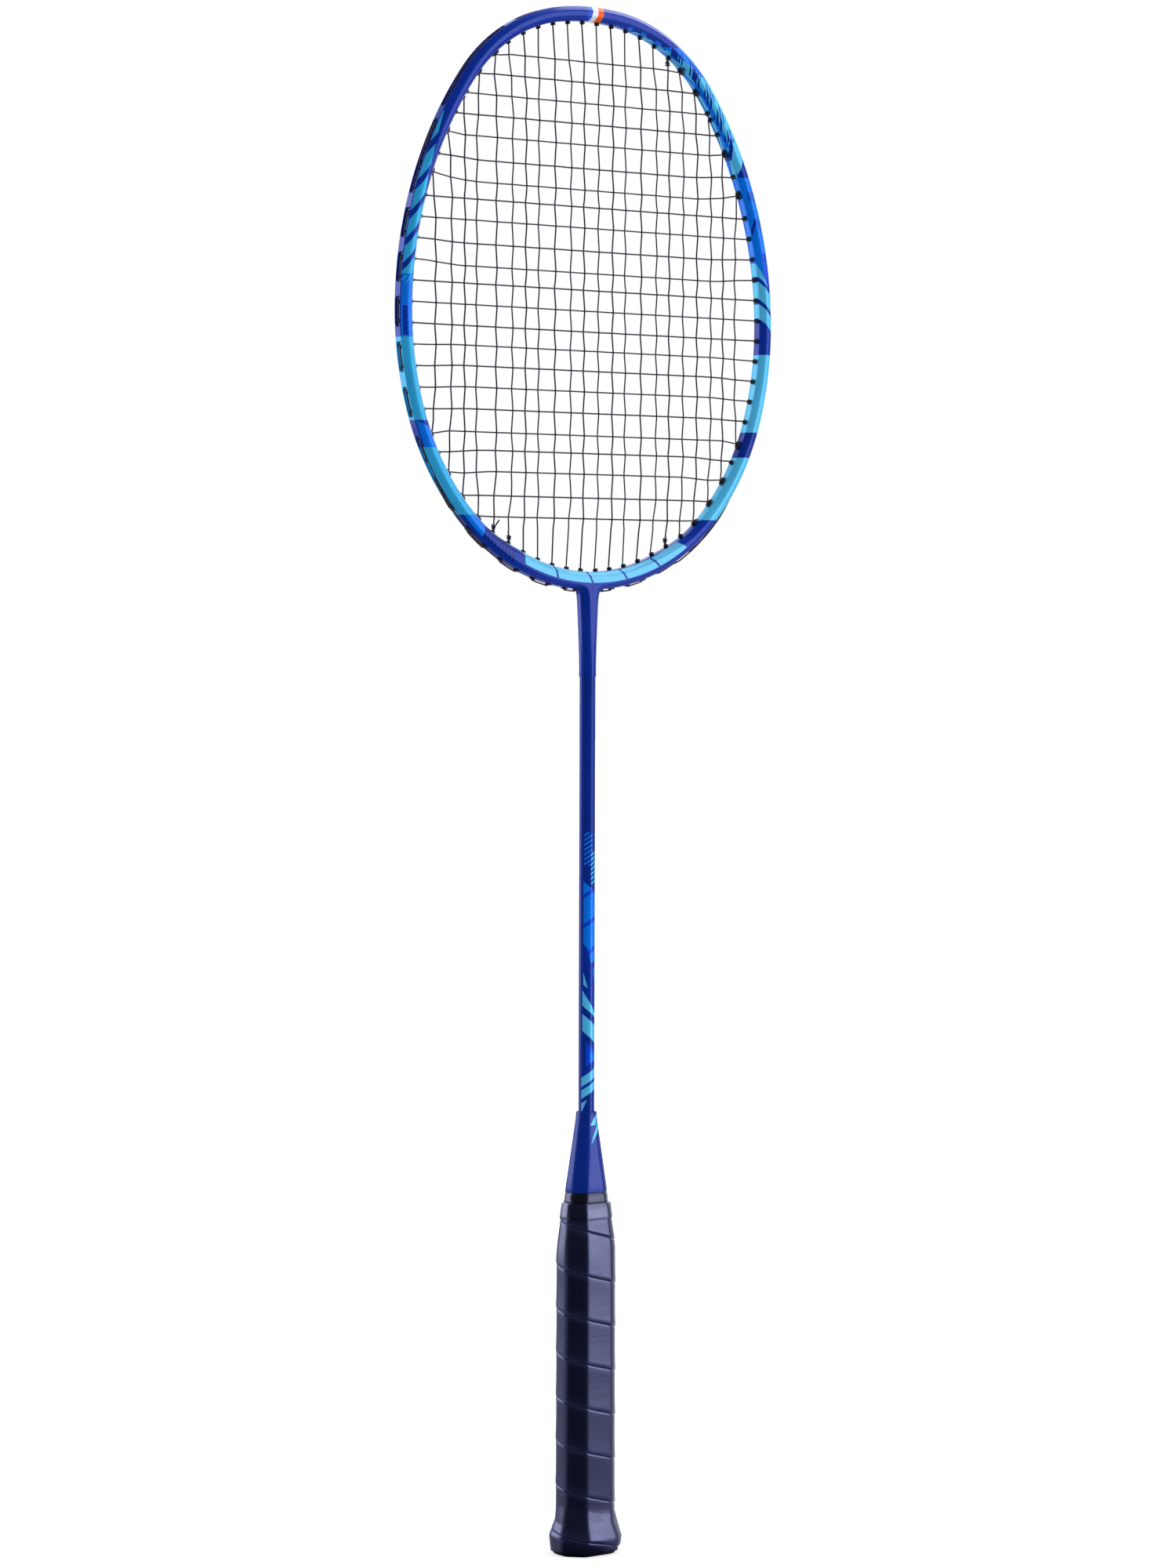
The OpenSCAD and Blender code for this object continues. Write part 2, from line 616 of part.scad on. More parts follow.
// Least gap from one turn of the ribbon to the next, over their points
grip_gap = min([for (m = ribbon) if (m + 8 <= max(ribbon))
    min([for (p = ribbon_ring(m), q = ribbon_ring(m + 8)) norm(p - q)])]);
echo(grip_gap = grip_gap);
module grip_wrap() {
    n = 2 * grip_levels;
    rings = len(ribbon);
    points = [for (m = ribbon) each ribbon_ring(m)];
    start = [for (s = [1:n - 2]) [0, s + 1, s]];
    end = [for (s = [1:n - 2]) [(rings - 1) * n, (rings - 1) * n + s, (rings - 1) * n + s + 1]];
    wall = [for (i = [0:rings - 2], s = [0:n - 1])
        let (a = i * n + s, b = i * n + (s + 1) % n)
        each [[a, b, a + n], [b, b + n, a + n]]];
    color("#22242e")
        polyhedron(points, concat(start, wall, end));
}
module finishing_tape() {
    zs = [grip_top - finish_length, grip_top + fit_gap];
    color("#15161a")
        difference() {
            handle_loft(zs, [for (z = zs) side_out(z) + fit_gap + finish_thickness]);
            handle_loft(zs + [-overlap, overlap], [for (z = zs + [-overlap, overlap]) side_out(z) + fit_gap]);
        }
}
module main_string() {
    color("#3d3550")
        string_tube(main_route);
}
module cross_string() {
    color("#3d3550")
        string_tube(cross_route);
}
// A knot holds two strings, the main string k and the tied end in front of it
module knot(side, k, top) {
    difference() {
        for (y = [-layer_y, layer_y])
            rod(beside(side, k, top, knot_lift, y), beside(side, k, top, knot_lift + knot_length, y),
                string_d + 2 * knot_wall);
        for (y = [-layer_y, layer_y])
            rod(beside(side, k, top, knot_lift - overlap, y),
                beside(side, k, top, knot_lift + knot_length + overlap, y), string_d + 2 * fit_gap);
    }
}
module string_knots() {
    color("#2e2840") {
        knot(-1, tie_main, false);
        knot(1, tie_main, false);
        knot(-1, tie_cross, false);
        knot(1, tie_main, true);
    }
}
module main_grommets_top() {
    color("#0d0e12")
        for (side = [-1, 1], k = [0:mains_per_half - 1])
            grommet(side, main_top[k], main_top[k]);
}
module main_grommets_bottom() {
    color("#0d0e12")
        for (side = [-1, 1], k = [0:mains_per_half - 1])
            grommet(side, main_low[k], main_low_exit(k));
}
module cross_grommets(side) {
    color("#0d0e12")
        for (i = [0:last_cross])
            if (!cross_shares[i])
                grommet(side, cross_turn[i], cross_turn[i]);
}
module cross_grommets_left() {
    cross_grommets(-1);
}
module cross_grommets_right() {
    cross_grommets(1);
}

frame_hoop();
throat_joint();
throat_pin();
shaft();
cone_cap();
base_band();
handle_core();
butt_cap();
cap_nail_left();
cap_nail_right();
grip_wrap();
finishing_tape();
main_string();
cross_string();
string_knots();
main_grommets_top();
main_grommets_bottom();
cross_grommets_left();
cross_grommets_right();
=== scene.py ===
# %% [markdown]
# # A badminton racket and its finish
# A badminton racket is a bent carbon tube, the hoop, glued to a slim shaft through a short throat.
# The shaft ends in a wooden handle that is wrapped in tape. Two strings are laced through the hoop.
# The solids come from a CAD model. Here each one that shows gets its fine form and its finish:
# rounded edges, woven strings, wound tape, lacquer. We could edit the CAD meshes by hand, but new
# pieces built from the same sizes stay clean, and can be made again at any time.

# %% Load the model that the pieces are fitted to
import json
import math
import bmesh
import bpy
from mathutils import Matrix, Vector

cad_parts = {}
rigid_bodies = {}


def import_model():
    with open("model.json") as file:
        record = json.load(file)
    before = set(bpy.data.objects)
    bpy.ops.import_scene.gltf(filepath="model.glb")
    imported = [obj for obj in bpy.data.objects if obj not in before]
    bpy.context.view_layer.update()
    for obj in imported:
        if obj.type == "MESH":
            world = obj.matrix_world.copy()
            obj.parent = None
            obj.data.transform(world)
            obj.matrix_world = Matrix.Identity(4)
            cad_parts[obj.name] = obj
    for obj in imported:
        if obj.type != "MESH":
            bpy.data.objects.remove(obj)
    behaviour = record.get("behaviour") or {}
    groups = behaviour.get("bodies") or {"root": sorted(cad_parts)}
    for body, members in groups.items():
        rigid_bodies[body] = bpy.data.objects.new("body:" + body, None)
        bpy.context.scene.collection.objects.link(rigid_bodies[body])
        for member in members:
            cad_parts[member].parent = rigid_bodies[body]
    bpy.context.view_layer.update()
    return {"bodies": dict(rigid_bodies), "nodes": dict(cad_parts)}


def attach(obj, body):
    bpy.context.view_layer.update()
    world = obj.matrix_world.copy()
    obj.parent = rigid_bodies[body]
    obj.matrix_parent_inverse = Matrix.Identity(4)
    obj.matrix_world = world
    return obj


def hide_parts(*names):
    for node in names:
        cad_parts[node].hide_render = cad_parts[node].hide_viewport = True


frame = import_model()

BODY = next(iter(frame["bodies"]))
print("body:", BODY, "- CAD nodes:", len(frame["nodes"]))

# %% [markdown]
# ## Sizes
# All sizes are in millimetres, as on a maker's drawing, and a piece is scaled to metres when it is
# finished. They are the same values that shaped the solids, so every new piece meets them.

# %% The main sizes
MM = 0.001
LENGTH = 675.0          # butt to tip
TUBE_WIDTH = 6.4        # hoop tube, in the plane of the strings
TUBE_DEPTH = 8.4        # hoop tube, front to back
TUBE_BEVEL = 2.0
GROOVE_WIDTH = 3.6
GROOVE_DEPTH = 0.9
STRING_D = 0.7
STRING_LAYER = 0.38     # how far each layer of string lies from the middle plane
SHAFT_D = 7.0
print("racket", LENGTH, "mm long, string", STRING_D, "mm thick")

# %% [markdown]
# ## Camera
# The racket stands upright and is seen from its front left, level with the lower shaft, through a
# long lens that keeps the hoop's two sides almost the same size. A tilted camera would make the
# shaft lean together, so it stays level, and a lens shift brings the whole racket into the frame.

# %% Camera
VIEW_TURN = math.radians(37.07)     # turn of the view round the racket, from straight ahead
VIEW_DISTANCE = 1944.0
VIEW_HEIGHT = 400.9
FOCAL_PX = 5673.0                   # focal length, for a frame 2000 pixels high
LEAN = 0.0029                       # the racket leans a hair to the right in the frame
view_dir = Vector((math.sin(VIEW_TURN), math.cos(VIEW_TURN), 0))
lens = bpy.data.cameras.new("view")
lens.sensor_width = 36.0
lens.lens = FOCAL_PX / 2000 * 36.0
lens.shift_x = 0.0002
lens.shift_y = -0.0953
lens.clip_end = 100
camera = bpy.data.objects.new("view", lens)
bpy.context.scene.collection.objects.link(camera)
camera.matrix_world = (
    Matrix.Translation((-VIEW_DISTANCE * view_dir + Vector((0, 0, VIEW_HEIGHT))) * MM)
    @ Matrix.Rotation(-VIEW_TURN, 4, "Z") @ Matrix.Rotation(math.pi / 2, 4, "X")
    @ Matrix.Rotation(LEAN, 4, "Z"))
bpy.context.scene.camera = camera
bpy.context.scene.view_settings.view_transform = "Standard"
print("lens", round(lens.lens, 1), "mm at", tuple(round(c, 3) for c in camera.location))

# %% [markdown]
# ## Two small tools for materials
# Colours are written as web colours, which are stored with a curve for screens. Blender mixes
# light with straight numbers, so one function undoes that curve. The other adds a shader node with
# its settings and its links in one line, which keeps long node trees readable.

# %% Colour and node tools
def colour(web):
    """Straight RGBA numbers of a web colour such as "1f2f9c"."""
    parts = [int(web[i:i + 2], 16) / 255 for i in (0, 2, 4)]
    return tuple(c / 12.92 if c <= 0.04045 else ((c + 0.055) / 1.055) ** 2.4
                 for c in parts) + (1.0,)


def add_node(tree, kind, sockets=None, **settings):
    """Adds a node; a socket's value is a number, a colour or another node's output."""
    node = tree.nodes.new("ShaderNode" + kind)
    for name, value in settings.items():
        setattr(node, name, value)
    for key, value in (sockets or {}).items():
        if isinstance(value, bpy.types.NodeSocket):
            tree.links.new(value, node.inputs[key])
        else:
            node.inputs[key].default_value = value
    return node


def new_material(name):
    """An empty node material and its tree."""
    material = bpy.data.materials.new(name)
    material.use_nodes = True
    material.node_tree.nodes.clear()
    return material, material.node_tree


def finish_material(tree, shader):
    """Joins the last shader to the material's surface."""
    add_node(tree, "OutputMaterial", {"Surface": shader.outputs[0]})


print("a mid grey is", [round(c, 3) for c in colour("808080")])

# %% [markdown]
# ## Light and surroundings
# A studio lights such a glossy thing with two tall soft boxes, one on each side, so that every
# long facet shows as a clean stripe: bright where it faces a box, deep where it faces the camera.
# A small low one serves the grip, one above serves the tip and one behind draws the edges. The
# world gives a little light from everywhere. Seen directly or in a reflection it is a white
# backdrop, except that reflections find the unlit end of the studio behind the camera. A panorama
# of a real studio would light the racket too, but its lamps can't be moved to suit one facet.

# %% Soft boxes
def soft_box(name, place, height, aim_height, width, tall, watts):
    """An area lamp at a place and height, turned towards a point on the racket's axis."""
    light = bpy.data.lights.new(name, "AREA")
    light.shape = "RECTANGLE"
    light.size = width
    light.size_y = tall
    light.energy = watts
    lamp = bpy.data.objects.new(name, light)
    bpy.context.scene.collection.objects.link(lamp)
    lamp.location = place + Vector((0, 0, height))
    aim = Vector((0, 0, aim_height)) - lamp.location
    lamp.rotation_euler = aim.to_track_quat("-Z", "Y").to_euler()
    return lamp


side_dir = Vector((view_dir.y, -view_dir.x, 0))      # to the right, as the camera sees it
to_right = 0.96 * side_dir - 0.28 * view_dir         # where the front facets mirror the view
boxes = (
    soft_box("right_box", 1.4 * to_right, 0.40, 0.35, 0.45, 1.7, 8),
    soft_box("left_box", -1.4 * to_right, 0.58, 0.38, 0.45, 1.5, 7),
    soft_box("low_box", 0.6 * to_right, 0.12, 0.12, 0.3, 0.24, 0.36),
    soft_box("top_box", 0.3 * side_dir + 0.22 * view_dir, 1.05, 0.66, 0.36, 0.36, 1.5),
    soft_box("back_box", 1.8 * view_dir, 0.8, 0.35, 1.6, 1.4, 5),
)
print("soft boxes:", [b.name for b in boxes])

# %% World
world = bpy.data.worlds.new("studio")
bpy.context.scene.world = world
world.use_nodes = True
sky = world.node_tree
sky.nodes.clear()
look = add_node(sky, "TexCoord")
toward_camera = add_node(sky, "VectorMath", {0: look.outputs["Generated"], 1: tuple(-view_dir)},
                         operation="DOT_PRODUCT")
dark_end = add_node(sky, "MapRange", {"Value": toward_camera.outputs["Value"], "From Min": -0.8,
                                      "From Max": 0.3, "To Min": 1.0, "To Max": 0.06},
                    interpolation_type="SMOOTHSTEP")
rays = add_node(sky, "LightPath")
seen = add_node(sky, "Math", {0: rays.outputs["Is Camera Ray"],
                              1: rays.outputs["Is Transmission Ray"]}, operation="MAXIMUM")
ambient = add_node(sky, "Background", {"Color": colour("f4f6ff"), "Strength": 0.62})
mirrored = add_node(sky, "Background", {"Color": colour("ffffff"), "Strength": dark_end.outputs[0]})
backdrop = add_node(sky, "Background", {"Color": colour("ffffff"), "Strength": 1.0})
lit = add_node(sky, "MixShader", {0: rays.outputs["Is Glossy Ray"], 1: ambient.outputs[0],
                                  2: mirrored.outputs[0]})
shown = add_node(sky, "MixShader", {0: seen.outputs[0], 1: lit.outputs[0], 2: backdrop.outputs[0]})
add_node(sky, "OutputWorld", {"Surface": shown.outputs[0]})
print("world:", len(sky.nodes), "nodes")

# %% [markdown]
# ## Floor
# The racket stands on a pale floor. A little extra white, shown to the camera alone, lifts it to
# the backdrop's white, and the racket's own shadow still darkens it. Its front half is painted
# dark for reflections alone: a painted shade that stands for the unlit end of the studio.

# %% Floor
FLOOR_HALF = 12.0               # half the floor's side, in metres
floor_paint, tree = new_material("pale_floor")
matt = add_node(tree, "BsdfDiffuse", {"Color": (0.6, 0.6, 0.6, 1)})
rays = add_node(tree, "LightPath")
place = add_node(tree, "TexCoord")
distance = add_node(tree, "VectorMath", {0: place.outputs["Object"]}, operation="LENGTH")
far = add_node(tree, "MapRange", {"Value": distance.outputs["Value"], "From Min": 0.1,
                                  "From Max": 1.2, "To Min": 0.66, "To Max": 1.0},
               interpolation_type="SMOOTHSTEP")
lift = add_node(tree, "Math", {0: rays.outputs["Is Camera Ray"], 1: far.outputs[0]},
                operation="MULTIPLY")
glow = add_node(tree, "Emission", {"Color": colour("ffffff"), "Strength": lift.outputs[0]})
pale = add_node(tree, "AddShader", {0: matt.outputs[0], 1: glow.outputs[0]})
ahead = add_node(tree, "VectorMath", {0: place.outputs["Object"]}, operation="NORMALIZE")
front = add_node(tree, "VectorMath", {0: ahead.outputs[0], 1: tuple(-view_dir)},
                 operation="DOT_PRODUCT")
unlit = add_node(tree, "MapRange", {"Value": front.outputs["Value"], "From Min": 0.3,
                                    "From Max": 0.8}, interpolation_type="SMOOTHSTEP")
hidden = add_node(tree, "Math", {0: rays.outputs["Is Glossy Ray"], 1: unlit.outputs[0]},
                  operation="MULTIPLY")
# painted shade: reflections see the floor's front half as this dark surface
reflected_shade = add_node(tree, "BsdfDiffuse", {"Color": (0.03, 0.03, 0.03, 1)})
finish_material(tree, add_node(tree, "MixShader", {0: hidden.outputs[0], 1: pale.outputs[0],
                                                   2: reflected_shade.outputs[0]}))
bm = bmesh.new()
bmesh.ops.create_grid(bm, x_segments=1, y_segments=1, size=FLOOR_HALF)
mesh = bpy.data.meshes.new("studio_floor")
bm.to_mesh(mesh)
bm.free()
mesh.materials.append(floor_paint)
studio_floor = bpy.data.objects.new("studio_floor", mesh)
bpy.context.scene.collection.objects.link(studio_floor)
print("floor laid")

# %% [markdown]
# ## Tools for pieces
# Most parts of a racket are drawn out along a line: a tube, a cone, a tape. So one tool takes a
# ring of points, extrudes its edges and moves the new points to their place. The other gives a
# bmesh its smooth shading, its material and its place on the racket.

# %% Ring and piece tools
def ring_of(bm, points):
    """A closed ring of edges through a few points, ready to be drawn out."""
    ring = [bm.verts.new(p) for p in points]
    for a, b in zip(ring, ring[1:] + ring[:1]):
        bm.edges.new((a, b))
    return ring


def followers(ring, made):
    """The new vertices of an extrusion, in the order of the ring that they grew from."""
    fresh = {v for v in made if isinstance(v, bmesh.types.BMVert)}
    return [next(e.other_vert(v) for e in v.link_edges if e.other_vert(v) in fresh) for v in ring]


def ring_edges(bm, ring):
    """The edges round a ring."""
    return [bm.edges.get(pair) for pair in zip(ring, ring[1:] + ring[:1])]


def draw_out(bm, ring, places):
    """Extrudes the ring and moves the new points to their places."""
    made = bmesh.ops.extrude_edge_only(bm, edges=ring_edges(bm, ring))["geom"]
    grown = followers(ring, made)
    for v, place in zip(grown, places):
        v.co = place
    return grown


def make_piece(bm, name, material, replaces=(), crease=38):
    """Finishes a bmesh in millimetres as an object in metres that rides on the racket."""
    bmesh.ops.recalc_face_normals(bm, faces=bm.faces)
    bmesh.ops.scale(bm, vec=(MM, MM, MM), verts=bm.verts)
    mesh = bpy.data.meshes.new(name)
    bm.to_mesh(mesh)
    bm.free()
    mesh.materials.append(material)
    mesh.shade_smooth()
    mesh.set_sharp_from_angle(angle=math.radians(crease))
    piece = bpy.data.objects.new(name, mesh)
    bpy.context.scene.collection.objects.link(piece)
    if replaces:
        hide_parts(*replaces)
    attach(piece, BODY)
    print(name, len(mesh.polygons), "faces")


print("tools ready")

# %% [markdown]
# ## The line of the hoop
# A hoop is bent on a jig round a chain of arcs, each one running into the next without a kink.
# Its turn is 0 at the tip and 180 at the bottom, and says which way the frame faces there. A point
# at an inset lies that far inside the outer edge, so one function serves tube, holes and strings.

# %% Arcs of the hoop
ARC_TURNS = (0, 8, 54, 90, 107, 134, 180)
ARC_RADII = (118.168, 76.5, 177.038, 148.709, 115.0, 94.185)
arc_centres = [Vector((0, LENGTH - ARC_RADII[0]))]
for i in range(1, len(ARC_RADII)):
    lean = math.radians(ARC_TURNS[i])
    step = ARC_RADII[i - 1] - ARC_RADII[i]
    arc_centres.append(arc_centres[-1] + step * Vector((math.sin(lean), math.cos(lean))))


def arc_at(turn):
    """The number of the arc that a turn lies on."""
    return max(i for i in range(len(ARC_RADII)) if turn >= ARC_TURNS[i])


def rim(turn, inset, side=1, y=0.0):
    """Point of the hoop at a turn, inside its outer edge by an inset; side is -1 on the left."""
    i, lean = arc_at(turn), math.radians(turn)
    x, z = arc_centres[i] + (ARC_RADII[i] - inset) * Vector((math.sin(lean), math.cos(lean)))
    return Vector((side * x, y, z))


def turn_where(axis, value, inset, low, high):
    """Turn between low and high at which the rim passes a value of x (axis 0) or z (axis 2)."""
    rising = rim(high, inset)[axis] > rim(low, inset)[axis]
    for _ in range(40):
        middle = (low + high) / 2
        if (rim(middle, inset)[axis] < value) == rising:
            low = middle
        else:
            high = middle
    return (low + high) / 2


def from_bottom(turn):
    """Distance along the tube's middle line from the bottom of the hoop."""
    stops = [turn] + [stop for stop in ARC_TURNS if stop > turn]
    return sum((ARC_RADII[arc_at(a)] - TUBE_WIDTH / 2) * math.radians(b - a)
               for a, b in zip(stops, stops[1:]))


def ease(value, start, end):
    """Goes smoothly from 0 at start to 1 at end."""
    s = min(1.0, max(0.0, (value - start) / (end - start)))
    return s * s * (3 - 2 * s)


print("hoop runs from", rim(0, 0)[:], "to", rim(180, 0)[:])

# %% [markdown]
# ## Where the strings go
# Twenty-two main strings run up the head and twenty-three cross strings run over it. Each end
# passes through a hole, and where a main and a cross string meet the frame close together they
# share one. A hole's turn is found from the string's line, as a stringer's drilling plan does it.

# %% Drilling plan
MAINS = 11                     # in each half
MAIN_PITCH = 7.87
CROSSES = 23
CROSS_PITCH = 9.07
FIRST_CROSS = LENGTH - 24.0
BARREL_STAND = 1.2             # how far a grommet stands out on the inside
SHARE = 3.0                    # strings that meet the frame closer than this share a hole
THROAT_HOLE_X = 6.8            # outer end of the slanting holes beside the throat
TIE_SPACE = 5                  # degrees that the tied ends need below the last cross string
STRING_INSET = TUBE_WIDTH + BARREL_STAND + STRING_D / 2
main_x = [(k + 0.5) * MAIN_PITCH for k in range(MAINS)]
cross_z = [FIRST_CROSS - i * CROSS_PITCH for i in range(CROSSES)]
top_own = [turn_where(0, x, STRING_INSET, 0, 90) for x in main_x]
low_own = [turn_where(0, x, STRING_INSET, 90, 180) for x in main_x]
cross_own = [turn_where(2, z, STRING_INSET, 0, 180) for z in cross_z]


def near(turn, others):
    """Those of the other strings that meet the frame close to a turn."""
    return [t for t in others if (rim(turn, STRING_INSET) - rim(t, STRING_INSET)).length < SHARE]


def hole_turn(turn, others):
    """A string's own turn, or the middle between it and the string that it shares a hole with."""
    found = near(turn, others)
    return (turn + found[0]) / 2 if found else turn


main_top = [hole_turn(t, cross_own) for t in top_own]
main_low = [hole_turn(t, cross_own) for t in low_own]
cross_turn = [hole_turn(t, top_own + low_own) for t in cross_own]
cross_shares = [bool(near(t, top_own + low_own)) for t in cross_own]
throat_exit = turn_where(0, THROAT_HOLE_X, 0, 90, 180)
TIE_CROSS = max(k for k in range(MAINS) if main_low[k] > cross_turn[-1] + TIE_SPACE)
TIE_MAIN = TIE_CROSS - 1
print("holes on each side:", 2 * MAINS + CROSSES - sum(cross_shares),
      "ties at", TIE_MAIN, TIE_CROSS)

# %% [markdown]
# ## The hoop's section changes on its way
# Round the head the strings run in short slots, one for each pair of holes. Low down, beside the
# throat, the tube is stiffer and thicker, and its grommets stand proud instead, with the strings
# bridging from one to the next. So the width, the levels and the slots are functions of the turn.

# %% Thickness and levels round the hoop
LOW_PART_TURNS = (121, 132)     # over these turns the slots end and the grommets rise
THICK_TURNS = (138, 156)        # over these turns the tube gets thicker
THICKENING = 1.5
FLANGE_SUNK = 0.6               # depth of a grommet's outer end in its slot
FLANGE_PROUD = 0.6              # how far it stands out of the tube in the low part


def low_part(turn):
    """0 round the head, 1 in the low part where the grommets stand proud."""
    return ease(turn, *LOW_PART_TURNS)


def tube_width(turn):
    """The tube's width in the plane of the strings."""
    return TUBE_WIDTH + THICKENING * ease(turn, *THICK_TURNS)


def mouth_inset(turn):
    """Where a string comes out of its grommet, inside the head."""
    return tube_width(turn) + BARREL_STAND + STRING_D / 2


def flange_inset(turn):
    """Outer end of a grommet: sunk in its slot, or proud of the tube low down."""
    return FLANGE_SUNK - (FLANGE_SUNK + FLANGE_PROUD) * low_part(turn)


def outer_string_inset(turn):
    """Where a string lies as it runs over the grommets outside the head."""
    return flange_inset(turn) - STRING_D / 2


print("tube", TUBE_WIDTH, "to", tube_width(180), "mm wide, grommets from", flange_inset(0), "to",
      round(flange_inset(180), 2), "mm inside the edge")

# %% Slots
SLOT_HALF = GROOVE_WIDTH / 2 - 0.05
TIE_SLOT_END = 140.0            # the tied ends run along the lowest slots, as far as this turn
slots = {-1: [], 1: []}
for side in (-1, 1):
    for i in range(CROSSES - 1):
        if (i % 2 == 0) == (side == -1):
            slots[side].append((cross_turn[i], cross_turn[i + 1]))
    slots[side] += [(main_top[k], main_top[k + 1]) for k in range(1, MAINS - 1, 2)]
    slots[side] += [(-main_top[0], main_top[0])]
    slots[side] += [(main_low[-1], TIE_SLOT_END)]
slots[1].append((main_top[TIE_MAIN], cross_turn[0]))


def slot_half(side, turn):
    """Half the width of the slot at a turn: full between its two holes, round past each end."""
    best = 0.0
    for start, end in slots[side]:
        start, end = min(start, end), max(start, end)
        past = max(start - turn, turn - end, 0.0) * math.radians(1) * ARC_RADII[arc_at(turn)]
        if past < SLOT_HALF:
            best = max(best, math.sqrt(SLOT_HALF ** 2 - past ** 2))
    return best


print("slots left and right:", len(slots[-1]), len(slots[1]))

# %% [markdown]
# ## Rulers, stencils and coats
# A painter masks a racket with tape and sprays one colour after another. The same is done here: a
# ruler reads a distance in millimetres along some direction, a stencil is open between two marks of
# its rulers, and a coat is a colour that goes through a stencil onto the paint below. An image
# would be quicker to make, but stencils stay sharp at any distance.

# %% Stencils and coats
def point_in_mm(tree):
    """The point on the racket, in millimetres."""
    place = add_node(tree, "TexCoord")
    return add_node(tree, "VectorMath", {0: place.outputs["Object"], "Scale": 1 / MM},
                    operation="SCALE").outputs[0]


def place_on_racket(tree, back_from=2.3):
    """The point, with the back read turned round, so that it is painted like the front.

    The back begins at back_from, in millimetres behind the middle plane."""
    point = point_in_mm(tree)
    across = add_node(tree, "SeparateXYZ", {0: point})
    behind = add_node(tree, "Math", {0: across.outputs["Y"], 1: back_from},
                      operation="GREATER_THAN")
    way = add_node(tree, "MapRange", {"Value": behind.outputs[0], "To Min": 1.0, "To Max": -1.0})
    turned = add_node(tree, "CombineXYZ", {"X": way.outputs[0], "Y": way.outputs[0], "Z": 1.0})
    return add_node(tree, "VectorMath", {0: point, 1: turned.outputs[0]},
                    operation="MULTIPLY").outputs[0]


def rulers(tree, point, *ways):
    """One reading for each direction: how far the point lies along it."""
    return [add_node(tree, "VectorMath", {0: point, 1: way},
                     operation="DOT_PRODUCT").outputs["Value"] for way in ways]


def stencil(tree, *marks):
    """Open where each ruler reads between its low and high mark; a fourth number repeats them."""
    cuts = []
    for reading, low, high, *pitch in marks:
        if pitch:
            reading = add_node(tree, "Math", {0: reading, 1: pitch[0], 2: 0.0},
                               operation="WRAP").outputs[0]
        cuts.append(add_node(tree, "Math", {0: reading, 1: (low + high) / 2, 2: (high - low) / 2},
                             operation="COMPARE").outputs[0])
    opening = cuts[0]
    for cut in cuts[1:]:
        opening = add_node(tree, "Math", {0: opening, 1: cut}, operation="MULTIPLY").outputs[0]
    return opening


def spray(tree, ground, coats):
    """The paint after all coats; each coat is a colour and the marks of its stencil."""
    paint = colour(ground)
    for web, *marks in coats:
        paint = add_node(tree, "Mix", {0: stencil(tree, *marks), 6: paint, 7: colour(web)},
                         data_type="RGBA").outputs[2]
    return paint


NAVY = "0435aa"                 # the ground colour of every lacquered part
DEEP = "042478"                 # fine dark lines
ROYAL, BRIGHT = "044ade", "0080ff"
# CYAN and SKY are one light blue on the hoop. The right side's copy, SKY, is painted lighter, a
# painted light for the light that falls more on the right. On the shaft and cone SKY is plain
# paint.
CYAN, SKY = "38bcf6", "5ccfff"  # the light blues of the left and the right side
PALE = "6ccdf8"                 # the panel round the bottom
WHITE, ORANGE = "f3f4f8", "ff6000"      # the bands at the tip
print("paints:", NAVY, BRIGHT, CYAN)

# %% [markdown]
# ## Satin lacquer
# The hoop, throat and shaft are carbon fibre, filled, sprayed and clear coated. The blue is a
# flake paint, so it mirrors a little of its own colour, and the clear coat is satin: soft boxes
# show as broad pale bands with soft ends. Sprayed lacquer dries with orange peel, low waves about
# 1.5 mm apart, and is a touch thinner and darker in some places than in others.

# %% Lacquer
def satin_lacquer(tree, point, paint, roughness=0.33):
    """Finishes a material as satin flake lacquer over a paint."""
    # clouds 20 mm across, in tone and gloss
    depth = add_node(tree, "TexNoise", {"Vector": point, "Scale": 0.045, "Detail": 2.0})
    tone = add_node(tree, "MapRange", {"Value": depth.outputs[0], "From Min": 0.3, "From Max": 0.7,
                                       "To Min": 0.93, "To Max": 1.06})
    # flakes are 0.05 mm across, too fine to show, so they are drawn about 0.5 mm across
    flake = add_node(tree, "TexNoise", {"Vector": point, "Scale": 1.9, "Detail": 1.0})
    sparkle = add_node(tree, "MapRange", {"Value": flake.outputs[0], "From Min": 0.35,
                                          "From Max": 0.65, "To Min": 0.985, "To Max": 1.02})
    value = add_node(tree, "Math", {0: tone.outputs[0], 1: sparkle.outputs[0]},
                     operation="MULTIPLY")
    toned = add_node(tree, "HueSaturation", {"Value": value.outputs[0], "Color": paint})
    gloss = add_node(tree, "MapRange", {"Value": depth.outputs[0], "From Min": 0.3, "From Max": 0.7,
                                        "To Min": roughness - 0.03, "To Max": roughness + 0.05})
    # orange peel, waves 1.5 mm long
    peel = add_node(tree, "TexNoise", {"Vector": point, "Scale": 0.65, "Detail": 1.5})
    waves = add_node(tree, "Bump", {"Height": peel.outputs[0], "Strength": 0.3,
                                    "Distance": 0.00001})
    shader = add_node(tree, "BsdfPrincipled", {
        "Base Color": toned.outputs[0], "Roughness": gloss.outputs[0], "Metallic": 0.15,
        "Specular IOR Level": 0.1, "Coat Weight": 0.28, "Coat Roughness": 0.14,
        "Normal": waves.outputs[0]})
    finish_material(tree, shader)


print("lacquer mixed")

# %% [markdown]
# ## The hoop's paint
# Both sides share level blocks of navy and sky blue. The left side has slanting navy bars above
# them and the right side has short hatched strokes. Round the bottom a pale panel of slanting
# segments lies on the upper front, and two bands mark the tip. The hoop's mesh carries two
# readings of its own: how deep a point lies inside the outer edge, and how far it lies from the
# bottom, along the tube. Rulers that mix them with the height give edges that slant on the tube.

